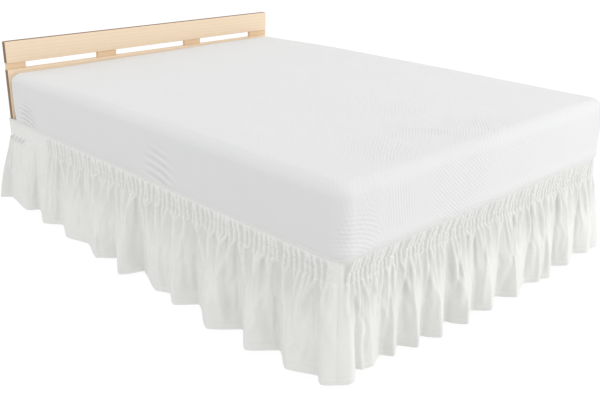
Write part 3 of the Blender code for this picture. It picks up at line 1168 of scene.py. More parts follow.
@dataclass(frozen=True)
class PlainFloor(Finish):
    """The plain pale floor that the bed stands on, which glows evenly."""

    name: str = "pale_floor"
    color: Color = (0.06, 0.06, 0.06)
    roughness: float = 0.9
    glow: float = 0.95

    def paint(self, sheet: NodeSheet) -> None:
        """Make the floor glow."""
        sheet.shader.inputs["Emission Color"].default_value = (1.0, 1.0, 1.0, 1.0)
        sheet.shader.inputs["Emission Strength"].default_value = self.glow


SKIRT_CLOTH = PlainWeave("ruffle_cloth", (0.765, 0.765, 0.745), stitch_rows=(0.009, 0.025))
# The heading is the same cloth as the ruffle, given a lighter colour: painted light that evens out
# the shade in its close gathers.
HEADING_CLOTH = PlainWeave("heading_cloth", (0.790, 0.790, 0.770), crumple_depth=0.0001,
                           crumple_scale=90.0)
BOARD_PINE = PineBoards("board_pine", (0.905, 0.745, 0.565))
BLOCK_PINE = PineBoards("block_pine", (0.84, 0.61, 0.40), dark=(0.70, 0.49, 0.30))
POST_PINE = PineBoards("post_pine", (0.70, 0.52, 0.36), dark=(0.56, 0.38, 0.24), grain=Axis.Z)
SAWN_PINE = SawnEnd("sawn_pine", (0.30, 0.20, 0.13))
LEG_WOOD = PineBoards("leg_wood", (0.26, 0.16, 0.09), 0.45, (0.15, 0.09, 0.05), Axis.Z)


# ---------------------------------------------------------------- skirt

@dataclass
class Heading:
    """One shirred heading: gathers that two rows of stitches draw in.

    Attributes:
        panel: Which panel it is.
        gathers: The gathers that it shares with its ruffle.
        painted_top_shade: How much painted shade darkens the smooth cloth under the binding, from
            0 to 1.
        row_pinch: How far the upper row of stitches pulls the gathers in, as a share of them.
        edge_pinch: How far the lower row does.
    """

    panel: Panel
    gathers: Gathers
    painted_top_shade: float
    top: float = 0.3885
    bottom: float = 0.3195
    touch: float = 0.0003
    depth_share: float = 0.9
    smooth_reach: float = 0.0095
    row_pinch: float = 0.50
    row_reach: float = 0.0020
    edge_pinch: float = 0.25
    edge_reach: float = 0.0022
    smooth_pinch: float = 0.95
    smooth_relief: float = 0.20
    fine_relief: float = 0.05
    fine_pitch: float = 0.007
    fine_lean: float = 0.4
    least_relief: float = 0.08
    relief_range: tuple[float, float] = (0.02, 1.2)
    frill_share: float = 0.85
    thickness: float = 0.0012
    column_step: float = 0.0022
    row_count: int = 33

    def smooth_top(self, heights: Array) -> Array:
        """Give how smooth the cloth is under the binding, from 0 to 1."""
        return bell(heights, self.top, self.smooth_reach)

    def relief(self, stations: Array, heights: Array) -> Array:
        """Give how far each point of the heading stands out.

        Args:
            stations: Station of each point.
            heights: Height of each point above the floor.

        Returns:
            The relief at each point, from 0 to about 1.
        """
        run = self.gathers
        smooth = self.smooth_top(heights)
        drawn = (1.0 - self.row_pinch * bell(heights, run.upper_row, self.row_reach)
                 - self.edge_pinch * bell(heights, self.bottom, self.edge_reach)
                 - self.smooth_pinch * smooth)
        fine = self.fine_relief * wander(
            stations + self.fine_lean * heights, self.fine_pitch, run.seed + 2)
        return (run.above(stations, heights) * drawn + fine + self.least_relief
                + self.smooth_relief * smooth + self.frill_share * run.frill(stations, heights)[0])

    def out_at(self, stations: Array, heights: Array) -> Array:
        """Give how far the heading's middle stands out from the base.

        Args:
            stations: Station of each point.
            heights: Height of each point above the floor.

        Returns:
            The distance at each point.
        """
        depth = self.depth_share * self.gathers.depth
        return self.touch + 0.5 * self.thickness + depth * np.clip(
            self.relief(stations, heights), *self.relief_range)

    def build(self) -> Piece:
        """Returns:
            The new piece.
        """
        run = self.gathers
        count = round((run.end - run.start) / self.column_step)
        stations, heights = np.broadcast_arrays(
            np.linspace(run.start, run.end, count + 1)[None, :],
            np.linspace(self.top, self.bottom, self.row_count)[:, None])
        points = EDGE.points(stations, self.out_at(stations, heights), heights)
        # Painted shade: between the gathers, and on the smooth cloth under the binding by the top
        # shade.
        painted_shade = run.painted_shade(run.above(stations, heights), stations, heights)
        smooth = self.smooth_top(heights)
        sheet = ClosedSheet(f"{self.panel.value}_heading", points,
                            np.full(self.row_count, self.thickness),
                            painted_shade * (1.0 - smooth) + self.painted_top_shade * smooth)
        piece = sheet.build()
        seat(piece, f"heading_{self.panel.value}", "heading_cloth", HEADING_CLOTH.material())
        declare_sheet(piece, sheet.width(self.row_count // 4), self.top - self.bottom)
        return piece


@dataclass
class Ruffle:
    """One gathered drop panel with its hem.

    Attributes:
        heading: The heading that it is sewn under, which has its gathers.
        creases: Its smaller creases, as stations.
        top: Height of its stitch line.
        drop: Length of the cloth from stitch line to hem.
        rest_out: How far its middle hangs out from the base at the stitch line.
        swing_power: How early in the drop the folds swing out.
        hem_lift: How far that swing lifts the hem.
        stitch_gap: How far below the hem's edge its stitches pinch it, as a share of the drop.
        out_weight: How much a fold's depth counts towards its number of columns.
        least_out: The least that the cloth stands out from the base.
        sink_share: How much of the way to it the relief may take the cloth.
        roundness: How round the crests and valleys are, from 0 to 1.
        early_fold: Share of the folds' depth that they have at the stitch line.
        full_fold: Share of the drop at which they have all of it.
        gather_start: Share of the gathers' depth at the stitch line.
        pleat_run: The shares of the drop that the small pleats run between, and their fading.
        seam_calm: How far from a corner's seam the cloth's relief is full again.
        seam_sink: How deep the cloth is drawn in at that seam.
        seam_run: The shares of the drop that it is drawn in between, and their fading.
        sewn_share: Share of the drop in which the cloth leaves the heading.
    """

    heading: Heading
    creases: list[Crease]
    top: float = 0.3212
    drop: float = 0.308
    rest_out: float = 0.003
    swing_power: float = 1.5
    hem_lift: float = 0.5
    pleat_depth: float = 0.0030
    pleat_pitch: float = 0.042
    pleat_bend: float = 0.010
    pleat_bend_pitch: float = 0.6
    pleat_run: Triple = (0.22, 0.70, 0.20)
    hem_height: float = 0.020
    cloth_thickness: float = 0.0012
    hem_thickness: float = 0.0021
    edge_thickness: float = 0.0009
    stitch_pinch: float = 0.0006
    stitch_gap: float = 0.009
    stitch_reach: float = 0.004
    column_step: float = 0.0026
    out_weight: float = 0.8
    least_columns: int = 4
    least_out: float = 0.0016
    sink_share: float = 0.8
    roundness: float = 0.35
    fold_softness: float = 0.0028
    fold_span: float = 0.060
    early_fold: float = 0.36
    full_fold: float = 0.55
    gather_start: float = 0.45
    gather_grown: float = 0.040
    frill_share: float = 0.8
    crease_share: float = 0.8
    crease_sway: float = 0.0025
    crease_soft: float = 0.10
    seam_calm: float = 0.016
    seam_sink: float = 0.0038
    seam_reach: float = 0.0055
    seam_run: Triple = (0.10, 0.45, 0.14)
    sewn_share: float = 0.035
    overlap: float = 0.0003
    painted_shade_share: float = 0.8
    painted_shade_run: tuple[float, float] = (0.05, 0.55)

    @property
    def hem(self) -> float:
        """Share of the drop at which the hem is stitched."""
        return 1.0 - self.hem_height / self.drop

    def shares(self) -> Array:
        """Place the rows, which are close at the gathers and at the hem.

        Returns:
            The share of the drop of each row.
        """
        return np.concatenate([
            np.linspace(0.0, 0.10, 9, endpoint=False),
            np.linspace(0.10, self.hem - 0.012, 22, endpoint=False),
            self.hem + np.array([-0.012, -0.004, 0.001, 0.006, 0.012, 0.020]),
            np.linspace(self.hem + 0.030, 0.993, 4), [1.0]])

    def columns(self) -> Array:
        """Place the columns evenly along the cloth.

        Returns:
            Each column's place between the knots: 0 at the first, 1 at the next one.
        """
        knots = self.heading.gathers.knots
        counts = []
        for here, there in zip(knots, knots[1:]):
            lateral = 0.5 * abs(there.top - here.top) + 0.5 * abs(there.hem - here.hem)
            run = math.hypot(lateral, self.out_weight * (there.out - here.out))
            counts.append(max(self.least_columns, round(run / self.column_step)))
        places = [index + np.arange(count) / count for index, count in enumerate(counts)]
        return np.concatenate(places + [[len(counts)]])

    def along_knots(self, ease: float = 0.0) -> Array:
        """Read the knots between them, at every column.

        Args:
            ease: 0 for straight lines from knot to knot, 1 for round crests and valleys.

        Returns:
            Three rows: the columns' top, hem and out.
        """
        facts = np.array(self.heading.gathers.knots).T
        places = self.columns()
        index = np.minimum(places.astype(int), facts.shape[1] - 2)
        part = places - index
        part = (1.0 - ease) * part + ease * (0.5 - 0.5 * np.cos(math.pi * part))
        return facts[:, index] + (facts[:, index + 1] - facts[:, index]) * part

    def relief(self, stations: Array, shares: Array) -> Array:
        """Give the small relief that lies on the main folds.

        Args:
            stations: Station of each middle point.
            shares: Share of the drop of each one.

        Returns:
            How far each point moves along the cloth's normal.
        """
        run = self.heading.gathers
        grown = self.gather_start + (1.0 - self.gather_start) * smooth_step(
            0.0, self.gather_grown, shares)
        total = run.depth * run.below(stations, shares) * grown
        total += self.frill_share * run.depth * run.frill(
            stations, self.top - self.drop * shares)[0]
        bend = stations + self.pleat_bend * wander(shares, self.pleat_bend_pitch, run.seed + 3)
        total += self.pleat_depth * wander(bend, self.pleat_pitch, run.seed + 4) * (
            between(*self.pleat_run, shares))
        for crease in self.creases:
            middle = crease.top + (crease.hem - crease.top) * shares
            middle = middle + self.crease_sway * np.sin(9.0 * shares + 40.0 * crease.top)
            window = between(crease.start, crease.end, self.crease_soft, shares)
            total += self.crease_share * crease.depth * window * bell(
                stations, middle, crease.width * (0.55 + 0.40 * shares))
        return total

    def folds(self, shares: Array) -> Array:
        """Give how far out each point would hang at the hem, with the depth its fold has there.

        Args:
            shares: Share of the drop of each row, as a column.

        Returns:
            The distance at each point.
        """
        round_out = self.along_knots(self.roundness)[2]
        flat, full = (soften(round_out, span / self.column_step)[None, :]
                      for span in (self.fold_span, self.fold_softness))
        grown = self.early_fold + (1.0 - self.early_fold) * smooth_step(0.0, self.full_fold,
                                                                        shares)
        return flat + (full - flat) * grown

    def surface(self) -> tuple[Array, Array]:
        """Shape the whole panel.

        Returns:
            The middle points, and the painted shade that each gets between two gathers.
        """
        shares = self.shares()[:, None]
        top, hem, _ = (row[None, :] for row in self.along_knots())
        stations = top + (hem - top) * shares
        swing = 1.0 - (1.0 - shares) ** self.swing_power
        out = self.rest_out + (self.folds(shares) - self.rest_out) * swing
        lift = self.hem_lift * out * out / (2.0 * self.drop)
        main = EDGE.points(stations, out, self.top - shares * (self.drop - lift))
        every_share = np.broadcast_to(shares, stations.shape)
        deepest = -(out - self.least_out) * self.sink_share
        relief = np.maximum(self.relief(stations, every_share), deepest)
        seam_distance = np.abs(np.abs(stations) - EDGE.corner_middle)
        relief = relief * smooth_step(0.0, self.seam_calm, seam_distance)
        sunk = between(*self.seam_run, shares) * bell(seam_distance, 0.0, self.seam_reach)
        relief = relief - self.seam_sink * sunk
        under = self.heading.out_at(top, np.full(top.shape, self.top)) + self.overlap
        sewn = 1.0 - smooth_step(0.0, self.sewn_share, shares)
        relief = relief + sewn * (under - self.rest_out - relief)
        moved = main + relief[..., None] * grid_normals(main)
        moved[0, :, 2] = self.top
        run = self.heading.gathers
        # Painted shade between the gathers, fading out down the drop.
        painted_shade = run.painted_shade(run.below(stations, every_share), stations,
                            self.top - self.drop * every_share)
        painted_shade = self.painted_shade_share * painted_shade * (1.0 - smooth_step(*self.painted_shade_run, every_share))
        return moved, painted_shade

    def thicknesses(self) -> Array:
        """Give the sheet's thickness: doubled in the hem and pinched at its stitches.

        Returns:
            The thickness in each row.
        """
        shares = self.shares()
        doubled = smooth_step(self.hem - 0.003, self.hem + 0.001, shares)
        thickness = self.cloth_thickness + (self.hem_thickness - self.cloth_thickness) * doubled
        thickness -= self.stitch_pinch * bell(
            shares, self.hem + self.stitch_gap, self.stitch_reach)
        thickness[-1] = self.edge_thickness
        return thickness

    def build(self) -> Piece:
        """Returns:
            The new piece.
        """
        panel = self.heading.panel.value
        points, painted_shade = self.surface()
        sheet = ClosedSheet(f"{panel}_ruffle", points, self.thicknesses(), painted_shade)
        piece = sheet.build()
        seat(piece, f"ruffle_{panel}", "ruffle_cloth", SKIRT_CLOTH.material())
        declare_sheet(piece, sheet.width(), self.drop + self.hem_height)
        return piece


@dataclass
class Binding:
    """The folded tape that binds the skirt's whole top edge.

    At the foot the mattress stands over it, and its upper edge is pushed out.

    Attributes:
        free_end: Station of its right end; its left end mirrors that.
        pushed_out: How far its upper edge is pushed out at the foot.
        push_run: How far past the foot's straight part that starts, and is in full.
        rows: Shares of its height that carry a row, from the top.
        fullness: Its thickness in each row, as a share of the usual.
    """

    free_end: float
    top: float = 0.400
    bottom: float = 0.3878
    touch: float = 0.0003
    thickness: float = 0.0030
    pushed_out: float = 0.0045
    push_run: tuple[float, float] = (0.03, -0.06)
    ripple_depth: float = 0.0009
    ripple_pitch: float = 0.019
    dip_depth: float = 0.0006
    dip_pitch: float = 0.055
    column_step: float = 0.006
    rows: tuple[float, ...] = (0.0, 0.06, 0.16, 0.34, 0.55, 0.75, 0.90, 1.0)
    fullness: tuple[float, ...] = (1.10, 1.30, 1.35, 1.25, 1.1, 1.00, 0.8, 0.5)
    seed: int = 71

    def build(self) -> Piece:
        """Returns:
            The new piece.
        """
        height = self.top - self.bottom
        count = round(2.0 * self.free_end / self.column_step)
        stations = np.linspace(-self.free_end, self.free_end, count + 1)[None, :]
        shares = np.array(self.rows)[:, None]
        thickness = self.thickness * np.array(self.fullness)
        ripple = 0.5 + 0.5 * wander(stations, self.ripple_pitch, self.seed)
        pushed = self.pushed_out * smooth_step(*(EDGE.foot_run + past for past in self.push_run),
                                               np.abs(stations))
        out = (self.touch + 0.5 * thickness[:, None]
               + self.ripple_depth * ripple * smooth_step(0.35, 1.0, shares)
               + pushed * (1.0 - shares))
        dip = (self.dip_depth * wander(stations, self.dip_pitch, self.seed + 1)
               * smooth_step(0.5, 0.0, shares))
        heights = self.top - height * shares + np.minimum(dip, 0.0)
        sheet = ClosedSheet("top_binding", EDGE.points(stations, out, heights), thickness)
        piece = sheet.build()
        seat(piece, "binding", "binding_tape", TwillTape().material())
        declare_sheet(piece, sheet.width(3), height)
        return piece


@dataclass
class Skirt:
    """The whole skirt: three ruffles under three headings, and one binding.

    Attributes:
        free_end: The line of each free end, along the bed.
        foot_slant: How far the foot's gathers lean, for each metre that they rise.
        side_slant: How far the right side's gathers do.
        foot_gather: Pitch, depth and painted shade of the foot's gathers.
        side_gather: Pitch, depth and painted shade of a side's gathers.
        corner_calm: Where the cloth beside a corner's seam is hardly gathered.
        side_calm: Where a side's is, along the bed.
        side_frill: Where a side has small frills, along the bed.
    """

    free_end: Knot = Knot(1.048, 1.105, 0.063)
    foot_slant: float = 0.55
    side_slant: float = 0.10
    foot_gather: Triple = (0.0200, 0.0090, 0.95)
    side_gather: Triple = (0.0225, 0.0088, 0.62)
    corner_calm: Span = Span(EDGE.corner_middle, 0.010)
    corner_shift: float = 0.008
    side_calm: Span = Span(EDGE.side_station(0.87), 0.16)
    side_frill: Span = Span(EDGE.side_station(0.975), 0.065)
    # Painted shade on the foot's smooth cloth under the binding, below the mattress's overhang.
    foot_painted_top_shade: float = 0.5
    first_seed: int = 30

    @staticmethod
    def on_side(side: float, line: Knot | Crease) -> Knot | Crease:
        """Give a side's line with its places as stations; side is -1 left and 1 right."""
        return line._replace(top=side * EDGE.side_station(line.top),
                             hem=side * EDGE.side_station(line.hem))

    @staticmethod
    def on_corner(side: float, line: Knot) -> Knot:
        """Give a line of a corner's fold with its places, past the foot's run, as stations."""
        return line._replace(top=side * (EDGE.foot_run + line.top),
                             hem=side * (EDGE.foot_run + line.hem))

    def side_gathers(self, side: float, seed: int) -> Gathers:
        """Give the gathers of a side panel, with its valley and crest lines.

        Args:
            side: -1 for the left side, 1 for the right.
            seed: Seed of their unevenness.

        Returns:
            The gathers.
        """
        knots = [self.on_side(side, line) for line in (self.free_end, *SIDE_LINES)]
        knots += [self.on_corner(side, line) for line in (CORNER_SIDE_CREST, CORNER_SEAM)]
        start, end = sorted((side * EDGE.corner_middle,
                             side * EDGE.side_station(self.free_end.top)))
        beside_seam = self.corner_calm._replace(
            middle=self.corner_calm.middle + self.corner_shift)
        corner, patch, frill = (span._replace(middle=side * span.middle)
                                for span in (beside_seam, self.side_calm, self.side_frill))
        return Gathers(start, end, knots if side < 0 else knots[::-1], side * self.side_slant,
                       (corner, patch), seed, *self.side_gather, (frill,))

    def foot_gathers(self, seed: int) -> Gathers:
        """Give the gathers of the foot panel, with its valley and crest lines.

        Args:
            seed: Seed of their unevenness.

        Returns:
            The gathers.
        """
        corner = (CORNER_SEAM, CORNER_FOOT_CREST)
        knots = [*(self.on_corner(-1.0, line) for line in corner), *FOOT_LINES,
                 *(self.on_corner(1.0, line) for line in corner[::-1])]
        seam = EDGE.corner_middle
        calm = (self.corner_calm._replace(middle=-seam), self.corner_calm)
        return Gathers(-seam, seam, knots, self.foot_slant, calm, seed, *self.foot_gather)

    def build(self) -> list[Piece]:
        """Make the skirt's pieces.

        Returns:
            The new pieces.
        """
        left, foot, right = range(self.first_seed, self.first_seed + len(Panel))
        plans = (
            (Panel.LEFT, self.side_gathers(-1.0, left), 0.0,
             [self.on_side(-1.0, crease) for crease in SIDE_CREASES]),
            (Panel.FOOT, self.foot_gathers(foot), self.foot_painted_top_shade, list(FOOT_CREASES)),
            (Panel.RIGHT, self.side_gathers(1.0, right), 0.0,
             [self.on_side(1.0, crease) for crease in SIDE_CREASES]),
        )
        pieces = []
        for panel, gathers, painted_top_shade, creases in plans:
            heading = Heading(panel, gathers, painted_top_shade)
            pieces += [heading.build(), Ruffle(heading, creases).build()]
        pieces.append(Binding(EDGE.side_station(self.free_end.top)).build())
        return pieces


# ---------------------------------------------------------------- mattress

@dataclass
class Mattress:
    """A low foam mattress in a knitted cover: crowned, with soft rims and slightly full sides.

    Attributes:
        corner_share: Share of a quarter's points that its rounded corner takes.
        fullness: How far its sides stand out half way up.
        side_reach: How far in from a side's face that fullness reaches.
        lower_droop: How far its lower edge hangs below its underside.
        foot_bulge: How far the foot's lower part stands out.
        dome: How high the top's middle stands over its rim.
        head_droop: How far the top falls towards the head.
        side_tilt: How far it rises to the right.
        unevenness: Height of its soft waves.
        ring_counts: How many rings shape its underside, lower edge, sides, rim and top.
        crowding: How much closer the top's rings lie near the rim; 1 is evenly.
        belly_power: How evenly the sides' fullness spreads up them.
        bulge_share: The share of the height that the foot's bulge is fullest at.
        bulge_run: Where, along the bed, the bulge starts and is in full. The spans after it
            are those of the lower edge's, the head's and the side's change of height.
        dome_reach: How far from its middle the dome ends, across and along the bed.
    """

    half_width: float = 0.765
    foot_y: float = -1.015
    head_y: float = 1.013
    bottom: float = 0.4023
    top: float = 0.622
    corner_radius: float = 0.054
    corner_share: float = 0.14
    rim_radius: float = 0.042
    fullness: float = 0.004
    side_reach: float = 0.08
    points_per_quarter: int = 140
    lower_radius: float = 0.001
    lower_droop: float = 0.0022
    foot_bulge: float = 0.005
    dome: float = 0.007
    head_droop: float = 0.011
    side_tilt: float = 0.011
    unevenness: float = 0.0012
    ring_counts: tuple[int, ...] = (9, 6, 16, 11, 46)
    crowding: float = 1.15
    belly_power: float = 0.7
    bulge_share: float = 0.05
    bulge_reach: float = 0.09
    bulge_run: tuple[float, float] = (-0.90, -1.01)
    edge_span: tuple[float, float] = (0.007, 0.003)
    head_span: tuple[float, float] = (0.35, 1.0)
    tilt_span: tuple[float, float] = (-0.5, 0.75)
    dome_reach: tuple[float, float] = (0.77, 1.02)

    @property
    def half_length(self) -> float:
        """Half its length."""
        return 0.5 * (self.head_y - self.foot_y)

    def profile(self) -> list[tuple[float, float]]:
        """Give the rings from the bottom's middle to the top's.

        Returns:
            Each ring's inset and the share of the height that it lies at.
        """
        height = self.top - self.bottom
        rim, low = self.rim_radius, self.lower_radius
        under, edge, side, curve, over = self.ring_counts
        rings = [(inset, 0.0) for inset in np.linspace(self.half_width, low, under)[:-1]]
        rings += [(low - low * math.sin(angle), low * (1.0 - math.cos(angle)) / height)
                  for angle in np.linspace(0.0, 0.5 * math.pi, edge)]
        rings += [(0.0, share)
                  for share in np.linspace(low / height, 1.0 - rim / height, side)[1:-1]]
        rings += [(rim - rim * math.cos(angle), 1.0 - rim * (1.0 - math.sin(angle)) / height)
                  for angle in np.linspace(0.0, 0.5 * math.pi, curve)]
        rings += [(inset, 1.0) for inset in rim + (self.half_width - rim)
                  * np.linspace(0.0, 1.0, over)[1:] ** self.crowding]
        return rings

    def ring(self, inset: float) -> Array:
        """Give the points of one level ring, which is the outline moved in.

        Args:
            inset: How far in the outline is moved.

        Returns:
            The ring's points, as x and y.
        """
        half_x = max(self.half_width - inset, 0.0)
        half_y = self.half_length - inset
        radius = min(max(self.corner_radius - 0.8 * inset, 0.0), half_x)
        along = np.linspace(0.0, 1.0, self.points_per_quarter, endpoint=False)
        straight = 0.5 - 0.5 * self.corner_share
        corner = 0.5 * math.pi * np.clip((along - straight) / self.corner_share, 0.0, 1.0)
        before = np.clip(along / straight, 0.0, 1.0)
        after = np.clip((along - 0.5 - 0.5 * self.corner_share) / straight, 0.0, 1.0)
        x = (half_x - radius) * (1.0 - after) + radius * np.cos(corner)
        y = (half_y - radius) * before + radius * np.sin(corner)
        first = np.stack([x, y], axis=-1)
        second = np.concatenate([[[0.0, half_y]], (first * (-1.0, 1.0))[:0:-1]])
        half_ring = np.concatenate([first, second])
        return np.concatenate([half_ring, -half_ring])

    def section(self, inset: float, share: float) -> Array:
        """Give the finished points of one ring.

        Args:
            inset: How far in from the outline it lies.
            share: The share of the height that it lies at.

        Returns:
            The ring's points.
        """
        flat = self.ring(inset)
        belly = self.fullness * math.sin(math.pi * share) ** self.belly_power
        reach = np.linalg.norm(flat, axis=-1, keepdims=True)
        side = np.clip((np.abs(flat) - (self.half_width, self.half_length) + inset
                        + self.side_reach) / self.side_reach, 0.0, 1.0)
        flat = flat + belly * np.sign(flat) * side * (reach > 0.1)
        x, y = flat[:, 0], flat[:, 1] + 0.5 * (self.head_y + self.foot_y)
        bulge = self.foot_bulge * bell(share, self.bulge_share, self.bulge_reach)
        y = y - bulge * smooth_step(*self.bulge_run, y)
        z = self.bottom + (self.top - self.bottom) * share + self.crown(x, y) * share ** 3
        if share < 0.5:
            droop = self.lower_droop * (1.0 - 2.0 * share)
            z = z - droop * smooth_step(*self.edge_span, inset)
        return np.stack([x, y, z], axis=-1)

    def crown(self, x: Array, y: Array) -> Array:
        """Give how far the top stands above or below its rim's height.

        Args:
            x: Where the places lie across the bed.
            y: Where they lie along it.

        Returns:
            The height at each place.
        """
        across, along = self.dome_reach
        dome = self.dome * (1.0 - (x / across) ** 2) * (1.0 - (y / along) ** 2)
        droop = self.head_droop * smooth_step(*self.head_span, y)
        tilt = self.side_tilt * smooth_step(*self.tilt_span, x)
        waves = np.sin(7.0 * x + 2.0 * y + 0.6) * np.cos(5.0 * y - 3.0 * x)
        return dome - droop + tilt + self.unevenness * waves

    def build(self) -> list[Piece]:
        """Returns:
            The new piece, alone.
        """
        sections = [self.section(inset, share) for inset, share in self.profile()]
        count = len(sections[0])
        corners = np.arange(len(sections) * count).reshape(-1, count)
        ahead = np.roll(corners, -1, axis=1)
        faces = np.stack([corners[:-1], ahead[:-1], ahead[1:], corners[1:]], axis=-1)
        mesh = bpy.data.meshes.new("mattress_in_cover")
        mesh.from_pydata(np.concatenate(sections).tolist(), [], faces.reshape(-1, 4).tolist())
        shell = bmesh.new()
        shell.from_mesh(mesh)
        bmesh.ops.remove_doubles(shell, verts=shell.verts, dist=0.0002)
        bmesh.ops.dissolve_degenerate(shell, edges=shell.edges, dist=0.0001)
        bmesh.ops.recalc_face_normals(shell, faces=shell.faces)
        shell.to_mesh(mesh)
        shell.free()
        mesh.shade_smooth()
        piece = add_object(mesh.name, mesh)
        seat(piece, "mattress", "mattress_cover", RippledKnit().material())
        return [piece]


# ---------------------------------------------------------------- base, legs and headboard

UP, DOWN = Vector((0.0, 0.0, 1.0)), Vector((0.0, 0.0, -1.0))
TO_RIGHT, TO_LEFT = Vector((1.0, 0.0, 0.0)), Vector((-1.0, 0.0, 0.0))
TO_FOOT = Vector((0.0, -1.0, 0.0))


def start_box(name: str, low: Iterable[float], high: Iterable[float]) -> Piece:
    """Add a box primitive between two corners, with its place in its mesh.

    Args:
        name: Name of the piece.
        low: Its lowest corner.
        high: Its highest corner.

    Returns:
        The new piece, selected and active.
    """
    low, high = Vector(low), Vector(high)
    bpy.ops.object.select_all(action="DESELECT")
    bpy.ops.mesh.primitive_cube_add(size=1.0, location=(low + high) / 2)
    piece = bpy.context.object
    piece.name = piece.data.name = name
    piece.scale = high - low
    bpy.ops.object.transform_apply(location=True, rotation=True, scale=True)
    return piece


def round_edges(piece: Piece, width: float, segments: int, angle: float = 30.0) -> None:
    """Round a piece's edges with an applied Bevel, and shade it smooth.

    Args:
        piece: The piece.
        width: The bevel's width.
        segments: How many faces round an edge.
        angle: How far an edge turns to be rounded, in degrees.
    """
    bpy.ops.object.mode_set(mode="OBJECT")
    bpy.ops.object.select_all(action="DESELECT")
    piece.select_set(True)
    bpy.context.view_layer.objects.active = piece
    bevel = piece.modifiers.new("soft_edges", "BEVEL")
    bevel.width = width
    bevel.segments = segments
    bevel.limit_method = "ANGLE"
    bevel.angle_limit = math.radians(angle)
    bevel.harden_normals = False
    bpy.ops.object.modifier_apply(modifier=bevel.name)
    bpy.ops.object.shade_smooth_by_angle(angle=math.radians(35.0))


def pick_faces(piece: Piece, direction: Vector) -> None:
    """Select, in edit mode, the faces that look along a direction.

    Args:
        piece: The piece.
        direction: The direction.
    """
    bpy.ops.object.mode_set(mode="OBJECT")
    for polygon in piece.data.polygons:
        polygon.select = polygon.normal.dot(direction) > 0.95
    for edge in piece.data.edges:
        edge.select = False
    bpy.ops.object.mode_set(mode="EDIT")
    bpy.ops.mesh.select_mode(type="FACE")


def extrude_to(height: float, drop: float, middle: Vector, narrowing: Iterable[float]) -> None:
    """Extrude the selected faces down to a height and narrow them there.

    Args:
        height: Height that the new faces end at.
        drop: How far down that is.
        middle: A point on the upright line that they are narrowed towards.
        narrowing: Shares of their width and depth that are left.
    """
    bpy.ops.mesh.extrude_region_move(TRANSFORM_OT_translate={"value": drop * DOWN})
    bpy.ops.transform.resize(value=(*narrowing, 1.0),
                             center_override=(middle.x, middle.y, height))


@dataclass
class BedBase:
    """The cloth-covered base and its five legs.

    Attributes:
        bottom: Height of its underside.
        top: Height of its top.
        head_y: Where its head face is.
        welt: How far in from the edge the underside's welt lies.
        collar: Height of a leg's square upper part.
        glide: Height of the narrower glide under a leg.
    """

    bottom: float = 0.200
    top: float = 0.4017
    head_y: float = 1.015
    edge_radius: float = 0.006
    welt: float = 0.040
    welt_slope: float = 0.003
    welt_depth: float = 0.004
    corner_faces: int = 10
    leg_side: float = 0.060
    foot_side: float = 0.046
    collar: float = 0.045
    collar_step: float = 0.002
    glide: float = 0.004
    glide_step: float = 0.005
    leg_radius: float = 0.0016
    leg_names: tuple[str, ...] = ("leg_middle", "leg_foot_left", "leg_foot_right",
                                  "leg_head_left", "leg_head_right")

    def build(self) -> list[Piece]:
        """Make the base and its legs.

        Returns:
            The new pieces.
        """
        pieces = [self.build_base()]
        low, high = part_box(self.leg_names[0])
        pattern = self.build_leg(low, high)
        for name in self.leg_names:
            place_low, place_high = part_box(name)
            leg = add_object(f"{name}_turned", pattern.data.copy())
            leg.data.name = leg.name
            shift = (place_low + place_high) / 2 - (low + high) / 2
            leg.data.transform(Matrix.Translation(shift))
            seat(leg, name, "leg_wood")
            pieces.append(leg)
        bpy.data.objects.remove(pattern)
        return pieces

    def build_base(self) -> Piece:
        """Make the base: a block with round foot corners, a welt and a sunk underside.

        Returns:
            The base.
        """
        base = start_box("bed_base_cover", (-EDGE.half_width, EDGE.foot_y, self.bottom),
                         (EDGE.half_width, self.head_y, self.top))
        mesh = base.data
        for part in (*mesh.polygons, *mesh.vertices):
            part.select = False
        for edge in mesh.edges:
            first, second = (mesh.vertices[index].co for index in edge.vertices)
            upright = abs(first.z - second.z) > 0.5 * (self.top - self.bottom)
            edge.select = upright and first.y < 0.0
        bpy.ops.object.mode_set(mode="EDIT")
        bpy.ops.mesh.select_mode(type="EDGE")
        bpy.ops.mesh.bevel(offset=EDGE.corner_radius, offset_type="OFFSET",
                           segments=self.corner_faces, affect="EDGES")
        pick_faces(base, DOWN)
        bpy.ops.mesh.inset(thickness=self.welt, depth=0.0)
        bpy.ops.mesh.inset(thickness=self.welt_slope, depth=-self.welt_depth)
        round_edges(base, self.edge_radius, 3)
        seat(base, "bed_base", "base_fabric", BaseFabric().material())
        return base

    def build_leg(self, low: Vector, high: Vector) -> Piece:
        """Make one leg: square at the base, tapered to its foot, with a worn collar.

        Args:
            low: Its lowest corner.
            high: Its highest corner.

        Returns:
            The leg.
        """
        leg = start_box("leg_pattern", low, high)
        middle = (low + high) / 2
        length = high.z - low.z - self.collar
        taper = self.foot_side / (self.leg_side - 2.0 * self.collar_step)
        pick_faces(leg, DOWN)
        bpy.ops.transform.translate(value=length * UP)
        bpy.ops.mesh.inset(thickness=self.collar_step, depth=0.0)
        extrude_to(self.glide, length - self.glide, middle, (taper, taper))
        bpy.ops.mesh.inset(thickness=self.glide_step, depth=0.0)
        bpy.ops.mesh.extrude_region_move(TRANSFORM_OT_translate={"value": self.glide * DOWN})
        round_edges(leg, self.leg_radius, 2, 20.0)
        leg.data.materials.append(LEG_WOOD.material())
        return leg


